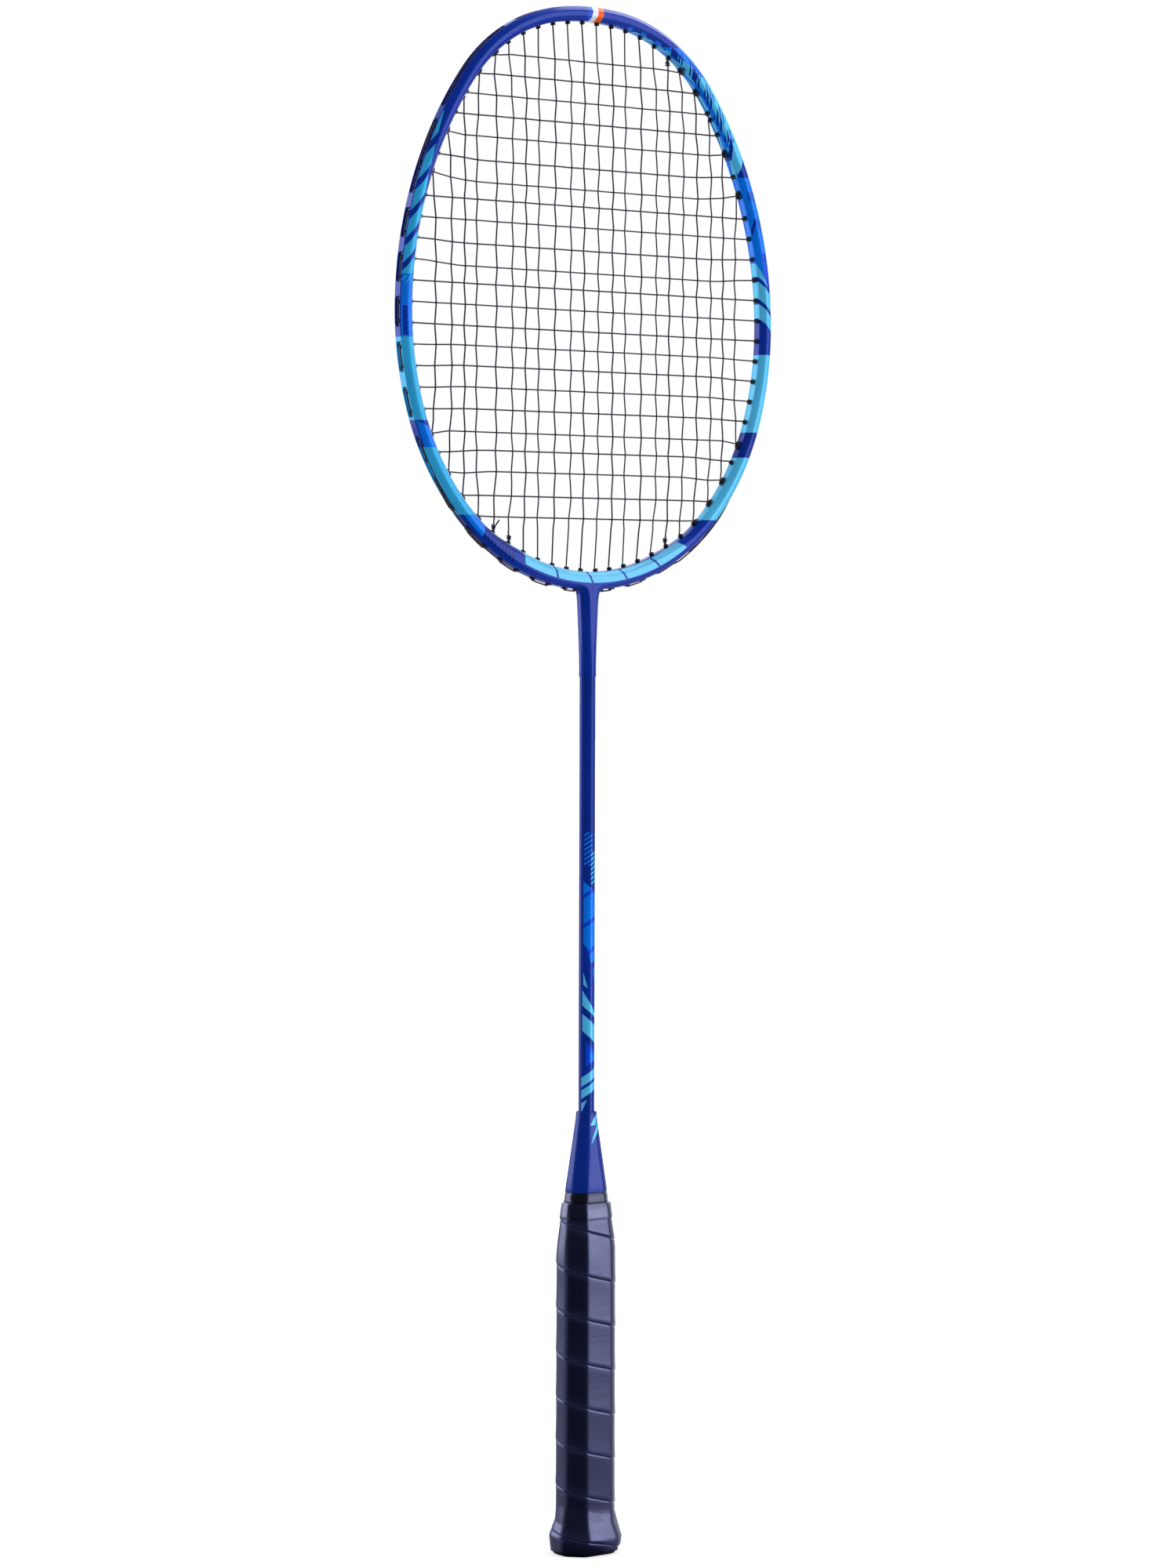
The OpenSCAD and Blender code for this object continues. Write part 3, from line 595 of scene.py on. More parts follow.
# %% Rulers of the hoop
hoop_lacquer, tree = new_material("satin_flake_lacquer_on_carbon_hoop")
hoop_point = place_on_racket(tree)
X, Y, Z, bar, leaning, stroke, falling, shard, tip_band = rulers(
    tree, hoop_point, (1, 0, 0), (0, 1, 0), (0, 0, 1), (-1.22, 0, 1), (0.47, 0, 1), (4, 0, 1),
    (1.14, 0, 1), (1.5, 1.3, 1), (1, 0, -0.25))
inset = add_node(tree, "Attribute", attribute_name="inset").outputs["Fac"]
run = add_node(tree, "Attribute", attribute_name="from_bottom").outputs["Fac"]
way = add_node(tree, "Math", {0: X, 1: 0.0}, operation="SIGN").outputs[0]
length_on = add_node(tree, "Math", {0: run, 1: way}, operation="MULTIPLY").outputs[0]
lean, drift, steep, widening, slip = [
    add_node(tree, "Math", {0: inset, 1: slope, 2: start}, operation="MULTIPLY_ADD").outputs[0]
    for slope, start in ((0.5, length_on), (1.5, Z), (2.9, Z), (9.0, Z), (-3.0, Z))]
LEFT, RIGHT = (X, -200, 0), (X, 0, 200)
FRONT, FLANK = (Y, -9, -2.3), (Y, -2.3, 2.3)
print("rulers of the hoop:", len(tree.nodes), "nodes")

# %% Coats of the left side, from the top
left_coats = [
    (CYAN, LEFT, (Z, 547, 586)),
    (CYAN, LEFT, (Z, 586, 624), (widening, 500, 627.6)),
    (NAVY, LEFT, (Z, 550.5, 624), (bar, 0, 2.9, 8.8)),
    (BRIGHT, LEFT, (Z, 526.8, 553.5)),
    (NAVY, LEFT, (Z, 527.5, 540), (inset, 0.7, 2.5)),
    (ROYAL, LEFT, (Z, 527.5, 540), (bar, 0, 0.6, 2.6), (inset, 0.7, 2.5)),
    (CYAN, LEFT, (Z, 549.6, 552.6), (bar, 0, 0.8, 2.6)),
    (NAVY, LEFT, (Z, 526.8, 624), FLANK, (inset, -1, 2)),
]
print("left side:", len(left_coats), "coats")

# %% Coats of the right side, from the top
right_coats = [
    (SKY, RIGHT, (Z, 605.6, 660.5)),
    (SKY, RIGHT, (Z, 660.4, 666.0), FLANK, (inset, 4, 9)),
    (BRIGHT, RIGHT, (Z, 630, 660.5), (slip, 641.5, 700), FRONT),
    (BRIGHT, RIGHT, (Z, 607, 668), (shard, 0, 3.0, 9.0), (inset, 5.4, 9)),
    (NAVY, RIGHT, (Z, 607, 666), (shard, 4.9, 5.9, 9.0), (inset, 6.0, 9)),
    (NAVY, RIGHT, (Z, 621, 658.5), (drift, 0, 6.4, 9.2), (stroke, 0, 2.6, 4.8), (inset, 2.6, 6.3)),
    (NAVY, RIGHT, (Z, 646, 660.5), (drift, 2, 4.4, 9.2), (inset, 3.4, 6.2), FRONT),
    (NAVY, RIGHT, (Z, 612.5, 622.4), (steep, 631.6, 635.0), (inset, 3.2, 6.6)),
    (NAVY, RIGHT, (Z, 605.6, 616), (drift, 500, 616), FRONT),
    (BRIGHT, RIGHT, (Z, 548, 605.6), (slip, 548.6, 700)),
    (NAVY, RIGHT, (Z, 595.4, 599.4), (stroke, 0, 2.0, 4.6), (inset, -1, 5.0)),
    (NAVY, RIGHT, (Z, 583.2, 587.4), (stroke, 0, 2.0, 4.6), (inset, -1, 4.2)),
    (NAVY, RIGHT, (Z, 580.0, 587.4), (steep, 598.0, 600.8), (inset, 3.6, 6.3)),
    (ROYAL, RIGHT, (Z, 548, 572.4), (slip, 548.6, 566), (inset, -1, 4.2)),
    (SKY, RIGHT, (Z, 530, 568.0), (slip, 500, 548.6), (falling, 651.1, 700)),
    (NAVY, RIGHT, (Z, 545, 562), (falling, 666.8, 668.6)),
    (NAVY, RIGHT, (Z, 535, 555), (falling, 657.6, 659.6)),
]
print("right side:", len(right_coats), "coats")

# %% [markdown]
# The last coats are the blocks that both sides share, the panel round the bottom and the tip. The
# fine lines beside the panel are 0.5 mm wide on the real part, and are drawn wider to show.

# %% Coats of both sides
shared_coats = [
    # the blocks that both sides share
    # the same block on both sides; the right side's copy is painted lighter, a painted light for
    # the light that falls more on that side
    (CYAN, LEFT, (Z, 452, 526.8)),
    (SKY, RIGHT, (Z, 452, 526.8)),
    (NAVY, (Z, 480.3, 491.7)),
    (DEEP, RIGHT, (Z, 480.3, 491.7), (falling, 0, 0.6, 1.5)),
    (BRIGHT, LEFT, (Z, 480.3, 491.7), (inset, 0.3, 9)),
    (NAVY, LEFT, (Z, 480.3, 491.7), (leaning, 447.6, 450.4)),
    # round the bottom
    (BRIGHT, (Z, 420, 452), (lean, -84, -62), (inset, 1.0, 9)),
    (DEEP, (Z, 420, 452), (lean, -62, -42.5), (lean, 0, 0.9, 2.2), (inset, 1.2, 9)),
    (PALE, (Z, 415, 450), (lean, -37.2, 56.6), (inset, 3.0, 7.7), (Y, -9, -1.6)),
    (NAVY, (Z, 415, 450), (lean, 0.6, 1.7, 19.0), (inset, 2.9, 7.9), FRONT),
    # the tip
    (ROYAL, (Z, 660, 680), (tip_band, -171.4, -169.2)),
    (WHITE, (Z, 660, 680), (tip_band, -169.2, -166.3)),
    (ORANGE, (Z, 660, 680), (tip_band, -166.3, -163.2)),
]
hoop_paint = spray(tree, NAVY, left_coats + right_coats + shared_coats)
satin_lacquer(tree, hoop_point, hoop_paint)
print("hoop lacquer:", len(tree.nodes), "nodes")

# %% [markdown]
# ## Paint of the throat, shaft and cone
# The throat is plain navy. The shaft is navy too, with fine slanting lines that hint at the carbon
# layers below, and with slanting bars and shards of blue over its lower third. Its pattern is
# measured along the shaft and round it, as a transfer is rolled on. The cone is moulded ABS,
# sprayed to match. The fine lines are 0.5 mm wide on the real part, and are drawn a little wider
# to show.

# %% Throat lacquer
throat_lacquer, tree = new_material("satin_flake_lacquer_on_carbon_throat")
point = place_on_racket(tree, 0.0)
fine, = rulers(tree, point, (1.0, 0.6, -1.0))
satin_lacquer(tree, point, spray(tree, NAVY, [("06309a", (fine, 0, 0.7, 1.5))]))
print("throat lacquer:", len(tree.nodes), "nodes")

# %% Shaft lacquer
shaft_lacquer, tree = new_material("satin_flake_lacquer_on_carbon_shaft")
point = place_on_racket(tree, 0.0)
part = add_node(tree, "SeparateXYZ", {0: point})
front = add_node(tree, "Math", {0: part.outputs["Y"], 1: -1.0}, operation="MULTIPLY")
angle = add_node(tree, "Math", {0: part.outputs["X"], 1: front.outputs[0]}, operation="ARCTAN2")
girth = add_node(tree, "Math", {0: angle.outputs[0], 1: SHAFT_D / 2}, operation="MULTIPLY")
rolled = add_node(tree, "CombineXYZ", {"X": girth.outputs[0], "Z": part.outputs["Z"]}).outputs[0]
ROUND, Z, falling, steep, sharp, rising, rake, fine = rulers(
    tree, rolled, (1, 0, 0), (0, 0, 1), (0.84, 0, 1), (1.58, 0, 1), (3.6, 0, 1), (-0.63, 0, 1),
    (-2.3, 0, 1), (-0.9, 0, 1))
WIDE, BROAD = (ROUND, -4.6, 3.4), (ROUND, -3.8, 3.4)
shaft_paint = spray(tree, NAVY, [
    (DEEP, (fine, 0, 0.55, 1.35)),
    (BRIGHT, (Z, 300, 314.6), (ROUND, -3.6, 0.2), (rising, 0, 0.9, 2.1)),
    (CYAN, (Z, 292, 306), (ROUND, -0.4, 3.4), (rising, 0, 0.9, 2.1)),
    (BRIGHT, (falling, 240.6, 290), BROAD),
    (ROYAL, (falling, 256, 290), (rising, 2.0, 4.0, 13.0), BROAD),
    (NAVY, (falling, 235, 262.5), (sharp, 200, 256.5), BROAD),
    (NAVY, (rising, 254.5, 257.5), (Z, 250, 262), (ROUND, -2.6, 3.4)),
    (SKY, (sharp, 200, 240.0), (falling, 245.0, 252.5), BROAD),
    (SKY, (falling, 235.5, 246), (steep, 200, 239.0), (ROUND, -4.2, 3.4)),
    (SKY, (falling, 224.4, 231.9), (ROUND, -4.2, 3.4)),
    (ROYAL, (falling, 207.0, 221.0), (ROUND, -2.6, 3.4)),
    (BRIGHT, (falling, 207.0, 219.0), (ROUND, -0.6, 3.4)),
    (NAVY, (rising, 204.8, 214), WIDE),
    (SKY, (rising, 206.3, 210.4), WIDE),
    (SKY, (rising, 201.1, 204.8), (ROUND, -4.6, 2.2)),
    (SKY, (rising, 180, 199.2), (rake, 202.6, 220), WIDE)])
satin_lacquer(tree, point, shaft_paint, 0.3)
print("shaft lacquer:", len(tree.nodes), "nodes")

# %% Cone lacquer
cone_plastic, tree = new_material("satin_lacquer_on_moulded_abs")
point = place_on_racket(tree, 0.0)
Y, Z, fine, rising, rake = rulers(
    tree, point, (0, 1, 0), (0, 0, 1), (-1.1, 1.1, 1), (-1.3, 0, 1), (-2.4, 0, 1))
FRONT = (Y, -20, -3.4)
satin_lacquer(tree, point, spray(tree, NAVY, [
    (DEEP, (fine, 0, 0.6, 1.3)),
    (SKY, (rake, 100, 181.7), (rising, 180.2, 220), FRONT),
    (SKY, (rake, 183.2, 220), (rising, 180.2, 188.6), (Z, 186.8, 191.2), FRONT)]))
print("cone lacquer:", len(tree.nodes), "nodes")

# %% [markdown]
# ## Wound tape, vinyl and rubber
# The grip tape is soft polyurethane, about 2 mm thick, with a skin that is embossed with a fine
# grain. Its skin has a bluish sheen where light grazes it and is almost black where it faces us.
# Its stretch leaves faint streaks along the tape, and hands polish the edge of each turn, so the
# roughness falls there. A lighter colour is also painted along the edges as a painted highlight.
# Vinyl tape is smoother and glossier, and the rubber ring is plainer. All four soft finishes share
# one recipe, which is shorter than four node trees.

# %% Soft skin
def soft_skin(name, web, edge_highlight_web, roughness, grain, bump, tint, level, coat, streaks=0.1):
    """A moulded or embossed skin: its colours, its grain per millimetre and its depth in mm."""
    material, tree = new_material(name)
    point = point_in_mm(tree)
    along = add_node(tree, "VectorMath", {0: point, 1: (0.12, 0.12, 0.9)}, operation="MULTIPLY")
    streak = add_node(tree, "TexNoise", {"Vector": along.outputs[0], "Scale": 0.5, "Detail": 3.0})
    skin = add_node(tree, "TexVoronoi", {"Vector": point, "Scale": grain})
    cloud = add_node(tree, "TexNoise", {"Vector": point, "Scale": 0.09, "Detail": 2.0})
    # the edge attribute: how much hands have polished the tape there, which lowers its roughness,
    # and how much painted highlight it gets
    polish_and_highlight = add_node(tree, "Attribute", attribute_name="edge").outputs["Fac"]
    amount = add_node(tree, "MapRange", {"Value": streak.outputs[0], "From Min": 0.35,
                                         "From Max": 0.65, "To Min": 1.0 - streaks,
                                         "To Max": 1.0 + streaks})
    # painted highlight: the lighter edge colour is mixed in where the edge attribute is high
    paint = add_node(tree, "Mix", {0: polish_and_highlight, 6: colour(web), 7: colour(edge_highlight_web)}, data_type="RGBA")
    toned = add_node(tree, "HueSaturation", {"Value": amount.outputs[0], "Color": paint.outputs[2]})
    rough = add_node(tree, "MapRange", {"Value": cloud.outputs[0], "From Min": 0.3, "From Max": 0.7,
                                        "To Min": roughness - 0.04, "To Max": roughness + 0.05})
    worn = add_node(tree, "Math", {0: polish_and_highlight, 1: -0.08, 2: rough.outputs[0]},
                    operation="MULTIPLY_ADD")
    ripple = add_node(tree, "Bump", {"Height": streak.outputs[0], "Strength": 0.5,
                                     "Distance": bump * 0.003})
    relief = add_node(tree, "Bump", {"Height": skin.outputs[0], "Strength": 0.6,
                                     "Distance": bump * 0.001, "Normal": ripple.outputs[0]})
    shader = add_node(tree, "BsdfPrincipled", {
        "Base Color": toned.outputs[0], "Roughness": worn.outputs[0], "Specular IOR Level": level,
        "Specular Tint": colour(tint), "Coat Weight": coat, "Coat Roughness": 0.22,
        "Coat Tint": colour(tint),
        "Normal": relief.outputs[0], "Coat Normal": relief.outputs[0]})
    finish_material(tree, shader)
    return material


print("soft skin ready")

# %% Grip, end tape, ring and cap finishes
# a dull skin with a bluish sheen, and a painted highlight: its edges are painted lighter
grip_tape = soft_skin("embossed_polyurethane_tape", "111228", "2c2e4a", roughness=0.3, grain=1.3,
                      bump=0.02, tint="b8c0ff", level=1.0, coat=0.55)
# glossy
finish_tape = soft_skin("stretched_vinyl_tape", "0e0f22", "1a1c30", roughness=0.26, grain=0.5,
                        bump=0.02, tint="c8ceff", level=1.0, coat=0.8, streaks=0.05)
# an even shine
band_rubber = soft_skin("moulded_black_rubber", "0c0c16", "161620", roughness=0.3, grain=2.2,
                        bump=0.01, tint="c4caff", level=0.7, coat=0.5, streaks=0.04)
# fine and dull, as it comes out of an eroded mould
cap_plastic = soft_skin("spark_textured_black_abs", "121217", "1c1c22", roughness=0.42, grain=2.6,
                        bump=0.02, tint="f0f0ff", level=0.5, coat=0.0, streaks=0.04)
print("soft finishes mixed")

# %% [markdown]
# ## Nylon and string
# The grommets are injection moulded black nylon, a little cloudy, with a waxy shine. The string is
# a bundle of fine nylon filaments, twisted and coated. Its filaments are 0.05 mm thick, far too
# fine to see, so the twist is drawn as turns 0.9 mm long.

# %% Nylon finishes
def nylon(name, web, light_web, roughness, turn):
    """Cloudy nylon with a twist whose turns have a length in mm."""
    material, tree = new_material(name)
    point = point_in_mm(tree)
    twist = add_node(tree, "TexWave", {"Vector": point, "Scale": 0.32 / turn, "Distortion": 0.6,
                                       "Detail": 1.0}, bands_direction="DIAGONAL")
    cloud = add_node(tree, "TexNoise", {"Vector": point, "Scale": 0.3, "Detail": 2.0})
    share = add_node(tree, "Math", {0: twist.outputs["Fac"], 1: cloud.outputs[0]},
                     operation="MULTIPLY")
    paint = add_node(tree, "Mix", {0: share.outputs[0], 6: colour(web), 7: colour(light_web)},
                     data_type="RGBA")
    rough = add_node(tree, "MapRange", {"Value": cloud.outputs[0], "From Min": 0.3, "From Max": 0.7,
                                        "To Min": roughness - 0.04, "To Max": roughness + 0.06})
    relief = add_node(tree, "Bump", {"Height": twist.outputs["Fac"], "Strength": 0.4,
                                     "Distance": 0.00004})
    shader = add_node(tree, "BsdfPrincipled", {
        "Base Color": paint.outputs[2], "Roughness": rough.outputs[0], "IOR": 1.53,
        "Normal": relief.outputs[0]})
    finish_material(tree, shader)
    return material


string_nylon = nylon("twisted_multifilament_nylon", "1f1632", "3c2f5c", 0.42, 0.9)
grommet_nylon = nylon("moulded_black_nylon", "08080c", "1a1a22", 0.34, 6.0)
print("finishes:", len(bpy.data.materials))

# %% [markdown]
# ## Wood, steel and alloy inside
# Some inner parts keep their CAD shape and only need their finish: the handle's core of pale
# hardwood, cut along the grain, the zinc plated nails of the cap, and the alloy pin in the throat.

# %% Finishes of the inner parts
core_wood, tree = new_material("planed_basswood")
place = add_node(tree, "TexCoord")
point = add_node(tree, "VectorMath", {0: place.outputs["Object"], 1: (1000, 1000, 90)},
                 operation="MULTIPLY").outputs[0]        # drawn out along the grain
grain = add_node(tree, "TexNoise", {"Vector": point, "Scale": 0.8, "Detail": 4.0,
                                    "Distortion": 0.4})
rings = add_node(tree, "TexWave", {"Vector": point, "Scale": 0.12, "Distortion": 3.0,
                                   "Detail": 2.0})       # rings 2.5 mm apart
share = add_node(tree, "Math", {0: grain.outputs[0], 1: rings.outputs["Fac"]}, operation="MULTIPLY")
paint = add_node(tree, "Mix", {0: share.outputs[0], 6: colour("c9a87a"), 7: colour("9a7446")},
                 data_type="RGBA")
pores = add_node(tree, "Bump", {"Height": grain.outputs[0], "Strength": 0.3, "Distance": 0.00008})
finish_material(tree, add_node(tree, "BsdfPrincipled", {
    "Base Color": paint.outputs[2], "Roughness": 0.62, "Normal": pores.outputs[0]}))


def brushed_metal(name, web, dull_web, roughness):
    """Metal with fine lines round it from turning or drawing, which draw its highlight out."""
    material, tree = new_material(name)
    place = add_node(tree, "TexCoord")
    point = add_node(tree, "VectorMath", {0: place.outputs["Object"], 1: (1000, 1000, 9000)},
                     operation="MULTIPLY")
    lines = add_node(tree, "TexNoise", {"Vector": point.outputs[0], "Scale": 1.2, "Detail": 3.0})
    paint = add_node(tree, "Mix", {0: lines.outputs[0], 6: colour(web), 7: colour(dull_web)},
                     data_type="RGBA")
    rough = add_node(tree, "MapRange", {"Value": lines.outputs[0], "To Min": roughness,
                                        "To Max": roughness + 0.15})
    fine = add_node(tree, "Bump", {"Height": lines.outputs[0], "Strength": 0.2,
                                   "Distance": 0.00002})
    finish_material(tree, add_node(tree, "BsdfPrincipled", {
        "Base Color": paint.outputs[2], "Metallic": 1.0, "Roughness": rough.outputs[0],
        "Normal": fine.outputs[0]}))
    return material


nail_steel = brushed_metal("zinc_plated_steel", "b9bcc0", "94979c", 0.3)
pin_alloy = brushed_metal("turned_aluminium", "c4c6c9", "a4a7ab", 0.28)
for node, finish in (("handle_core", core_wood), ("throat_pin", pin_alloy),
                     ("cap_nail_left", nail_steel), ("cap_nail_right", nail_steel)):
    solid = frame["nodes"][node]
    for held in solid.material_slots:
        held.material = finish
print("inner parts finished")

# %% [markdown]
# ## The hoop
# The real tube is laid up flat and bent in a mould. Here its section, an octagon with a groove in
# its outer side, is a small face whose corners are rounded by a vertex bevel. Its outline is then
# spun a little at a time round each arc's centre, as on a bending jig. A sweep along a curve could
# do it too, but would not know the turn at each point, which the slots need.

# %% Section of the tube
CORNER_ROUNDING = 0.42
half_w, half_d = GROOVE_WIDTH / 2, TUBE_DEPTH / 2
flat_d = half_d - TUBE_BEVEL
section = [(GROOVE_DEPTH, 0.05), (GROOVE_DEPTH, half_w), (0, half_w), (0, flat_d),
           (TUBE_BEVEL, half_d), (TUBE_WIDTH - TUBE_BEVEL, half_d), (TUBE_WIDTH, flat_d)]
section += [(n, -y) for n, y in reversed(section)]
bm = bmesh.new()
inset_mark = bm.verts.layers.float.new("inset")
run_mark = bm.verts.layers.float.new("from_bottom")
corners = [bm.verts.new((0, y, LENGTH - n)) for n, y in section]
bm.faces.new(corners)
octagon_corners = [v for v, (n, y) in zip(corners, section) if abs(y) > half_w + 0.1]
bmesh.ops.bevel(bm, geom=octagon_corners, offset=CORNER_ROUNDING, offset_type="OFFSET",
                affect="VERTICES", segments=2, profile=0.5, material=-1)
bm.faces.ensure_lookup_table()
ring = [loop.vert for loop in bm.faces[0].loops]
bmesh.ops.delete(bm, geom=[bm.faces[0]], context="FACES_ONLY")
print("points in the section:", len(ring))

# %% Turns of the rings
RING_STEP = 0.75                # degrees between two rings of the hoop
END_STEPS = (0, 0.7, 1.2, 1.55, SLOT_HALF - 0.01, SLOT_HALF + 0.02)     # mm past a slot's last hole
even_turns = {i * RING_STEP for i in range(int(180 / RING_STEP) + 1)} | set(map(float, ARC_TURNS))


def with_slot_ends(side):
    """The turns of the rings on one side, closer together round the slots' ends."""
    turns = set(even_turns)
    for start, end in slots[side]:
        for middle, way in ((min(start, end), -1), (max(start, end), 1)):
            if middle > 0:
                mm_turn = math.degrees(1 / ARC_RADII[arc_at(middle)])
                turns |= {middle + way * past * mm_turn for past in END_STEPS}
    return sorted(t for t in turns if 0 <= t <= 180)


right_turns, left_turns = with_slot_ends(1), with_slot_ends(-1)
print("rings on the right and left:", len(right_turns), len(left_turns))

# %% Spin the section round its arcs
way_round = [(1, t) for t in right_turns[1:]] + [(-1, t) for t in reversed(left_turns[:-1])]
rings = [((1, 0.0), ring)]
turn = 0.0
for side, next_turn in way_round:
    centre = arc_centres[arc_at((turn + next_turn) / 2)]
    made = bmesh.ops.spin(bm, geom=ring_edges(bm, ring), cent=(side * centre.x, 0, centre.y),
                          axis=(0, 1, 0), angle=math.radians(next_turn - turn) * side, steps=1,
                          use_merge=False)["geom_last"]
    ring = followers(ring, made)
    rings.append(((side, next_turn), ring))
    turn = next_turn
print("rings:", len(rings), "closes to", round((ring[0].co - rings[0][1][0].co).length, 4), "mm")

# %% Press the slots in, and thicken the low part
FILLED = 0.002                  # depth of the groove's floor where there is no slot


def press(side, turn, v, kind, y):
    """Moves one point of a ring: kind is floor or lip of the groove, or body."""
    centre, radius = arc_centres[arc_at(turn)], ARC_RADII[arc_at(turn)]
    arm = Vector((v.co.x * side - centre.x, v.co.z - centre.y))
    inset = radius - arm.length
    half = slot_half(side, turn) * (1 - low_part(turn))
    if kind == "floor":
        inset = GROOVE_DEPTH if half > 0 else FILLED
    if kind != "body" and half > 0:
        y *= half / SLOT_HALF
    if kind == "body" and inset > TUBE_WIDTH / 2:
        inset += tube_width(turn) - TUBE_WIDTH
    arm = arm.normalized() * (radius - inset)
    v.co = (side * (centre.x + arm.x), y, centre.y + arm.y)
    v[inset_mark], v[run_mark] = inset, from_bottom(turn)


def kind_of(v):
    """What a point of the first ring belongs to, by its place in the section at the tip."""
    if abs(v.co.y) > half_w + 0.01 or v.co.z < LENGTH - TUBE_WIDTH / 2:
        return "body"
    return "floor" if v.co.z < LENGTH - GROOVE_DEPTH / 2 else "lip"


plan = [(kind_of(v), v.co.y) for v in rings[0][1]]
last = rings.pop()[1]
bmesh.ops.weld_verts(bm, targetmap=dict(zip(last, rings[0][1])))
for (side, turn), ring in rings:
    for v, (kind, y) in zip(ring, plan):
        press(side, turn, v, kind, y)
make_piece(bm, "hoop", hoop_lacquer, ["frame_hoop"], crease=50)

# %% [markdown]
# ## Rounded octagons
# The throat, cone, handle and cap all have eight soft sides. One formula gives such a shape: a
# direction is measured against each pair of sides, and a high power of each measure lets the
# nearest side win, with a little rounding where two sides meet. A bevelled octagon looks the same,
# but here every ring has its points in the same directions, so unlike rings can be joined.

# %% Point of a rounded octagon
def octagon_point(angle, width, depth, bevel, crispness=22):
    """Where a rounded octagon lies in a direction; bevel is how much its corners are cut."""
    u, v = math.cos(angle), math.sin(angle)
    slant = (width + depth) / 2 - bevel
    sides = (2 * abs(u) / width, 2 * abs(v) / depth, abs(u + v) / slant, abs(u - v) / slant)
    reach = sum(s ** crispness for s in sides) ** (-1 / crispness)
    return Vector((reach * u, reach * v, 0))


def stack(bm, levels, count=96, caps=(True, True)):
    """Draws a ring up through levels; each gives a height and a function from angle to point."""
    angles = [2 * math.pi * i / count for i in range(count)]
    places = [[shape(a) + Vector((0, 0, z)) for a in angles] for z, shape in levels]
    ring = first = ring_of(bm, places[0])
    for level in places[1:]:
        ring = draw_out(bm, ring, level)
    if caps[0]:
        bm.faces.new(reversed(first))
    if caps[1]:
        bm.faces.new(ring)


def octagon(width, depth, bevel, crispness=22):
    """A rounded octagon as a function from angle to point."""
    return lambda angle: octagon_point(angle, width, depth, bevel, crispness)


def circle(d):
    """A circle as a function from angle to point."""
    return lambda angle: Vector((math.cos(angle), math.sin(angle), 0)) * d / 2


def between(a, b, share):
    """A shape that goes from a to b by a share."""
    return lambda angle: a(angle).lerp(b(angle), share)


print("corner of the handle:", octagon_point(0.3, 26.8, 20.2, 6.1)[:2])

# %% [markdown]
# ## Throat
# The throat is one moulding: a round socket for the shaft that becomes an eight-sided neck and
# spreads into the hoop. It is drawn up in rings, and its last rings widen quickly, which gives the
# soft fillet where the neck runs into the tube. Its top ends hidden inside the hoop, so no boolean
# union has to join the two.

# %% Throat
SOCKET_LOW = 382.5
socket = circle(SHAFT_D + 0.5)
# height, width, depth and bevel of the neck, up to where it has spread into the hoop
NECK = ((407, 8.7, 8.1, 2.4), (412, 9.3, 8.2, 2.5), (416, 9.7, 8.3, 2.5), (418.4, 10.3, 8.36, 2.5),
        (420, 11.4, 8.42, 2.5), (421.2, 13.4, 8.45, 2.4), (422.0, 16.4, 8.45, 2.3),
        (422.6, 20.6, 8.42, 2.2), (423.1, 24.0, 8.2, 2.1))
levels = [(SOCKET_LOW, circle(SHAFT_D + 0.3)), (SOCKET_LOW + 0.4, socket), (386, socket),
          (392, between(socket, octagon(7.9, 7.7, 2.2, 24), 0.35)),
          (399, between(socket, octagon(8.2, 7.9, 2.3, 24), 0.75))]
levels += [(z, octagon(width, depth, bevel, 26)) for z, width, depth, bevel in NECK]
bm = bmesh.new()
stack(bm, levels, count=128)
make_piece(bm, "throat", throat_lacquer, ["throat_joint"])

# %% [markdown]
# ## Shaft
# The shaft is a ground carbon tube, perfectly round. A cylinder would do, but a ring drawn straight
# up uses the same tool as its neighbours. It goes from inside the handle to inside the throat.

# %% Shaft
bm = bmesh.new()
stack(bm, [(z, circle(SHAFT_D)) for z in (80, 188, 386, 409.5)])
make_piece(bm, "shaft_tube", shaft_lacquer, ["shaft"])

# %% [markdown]
# ## Grommets
# Each hole is lined with a nylon barrel that keeps the carbon's edge off the string. It shows as a
# small black lip inside the head and as a flange outside. A lathe shape suits it: a profile of a
# few points is spun round the hole's axis. Where two strings share a hole the barrel is longer.

# %% Grommet tool
SHARED_STRETCH = 1.55           # a shared hole's barrel is longer, in the plane of the strings
SHARED_FAT = 1.22               # and its lip is thicker
GROMMET_SIDES = 14
# radius, and distance from the barrel's end, of the lip inside the head and the flange outside
LIP_PROFILE = ((0.66, 0.35), (0.72, 0.06), (0.88, -0.05), (1.06, 0.02), (1.16, 0.28), (1.16, 0.62))
FLANGE_PROFILE = ((1.5, 0.42), (1.55, 0.2), (1.4, 0.02), (1.0, 0), (0.75, 0.2))


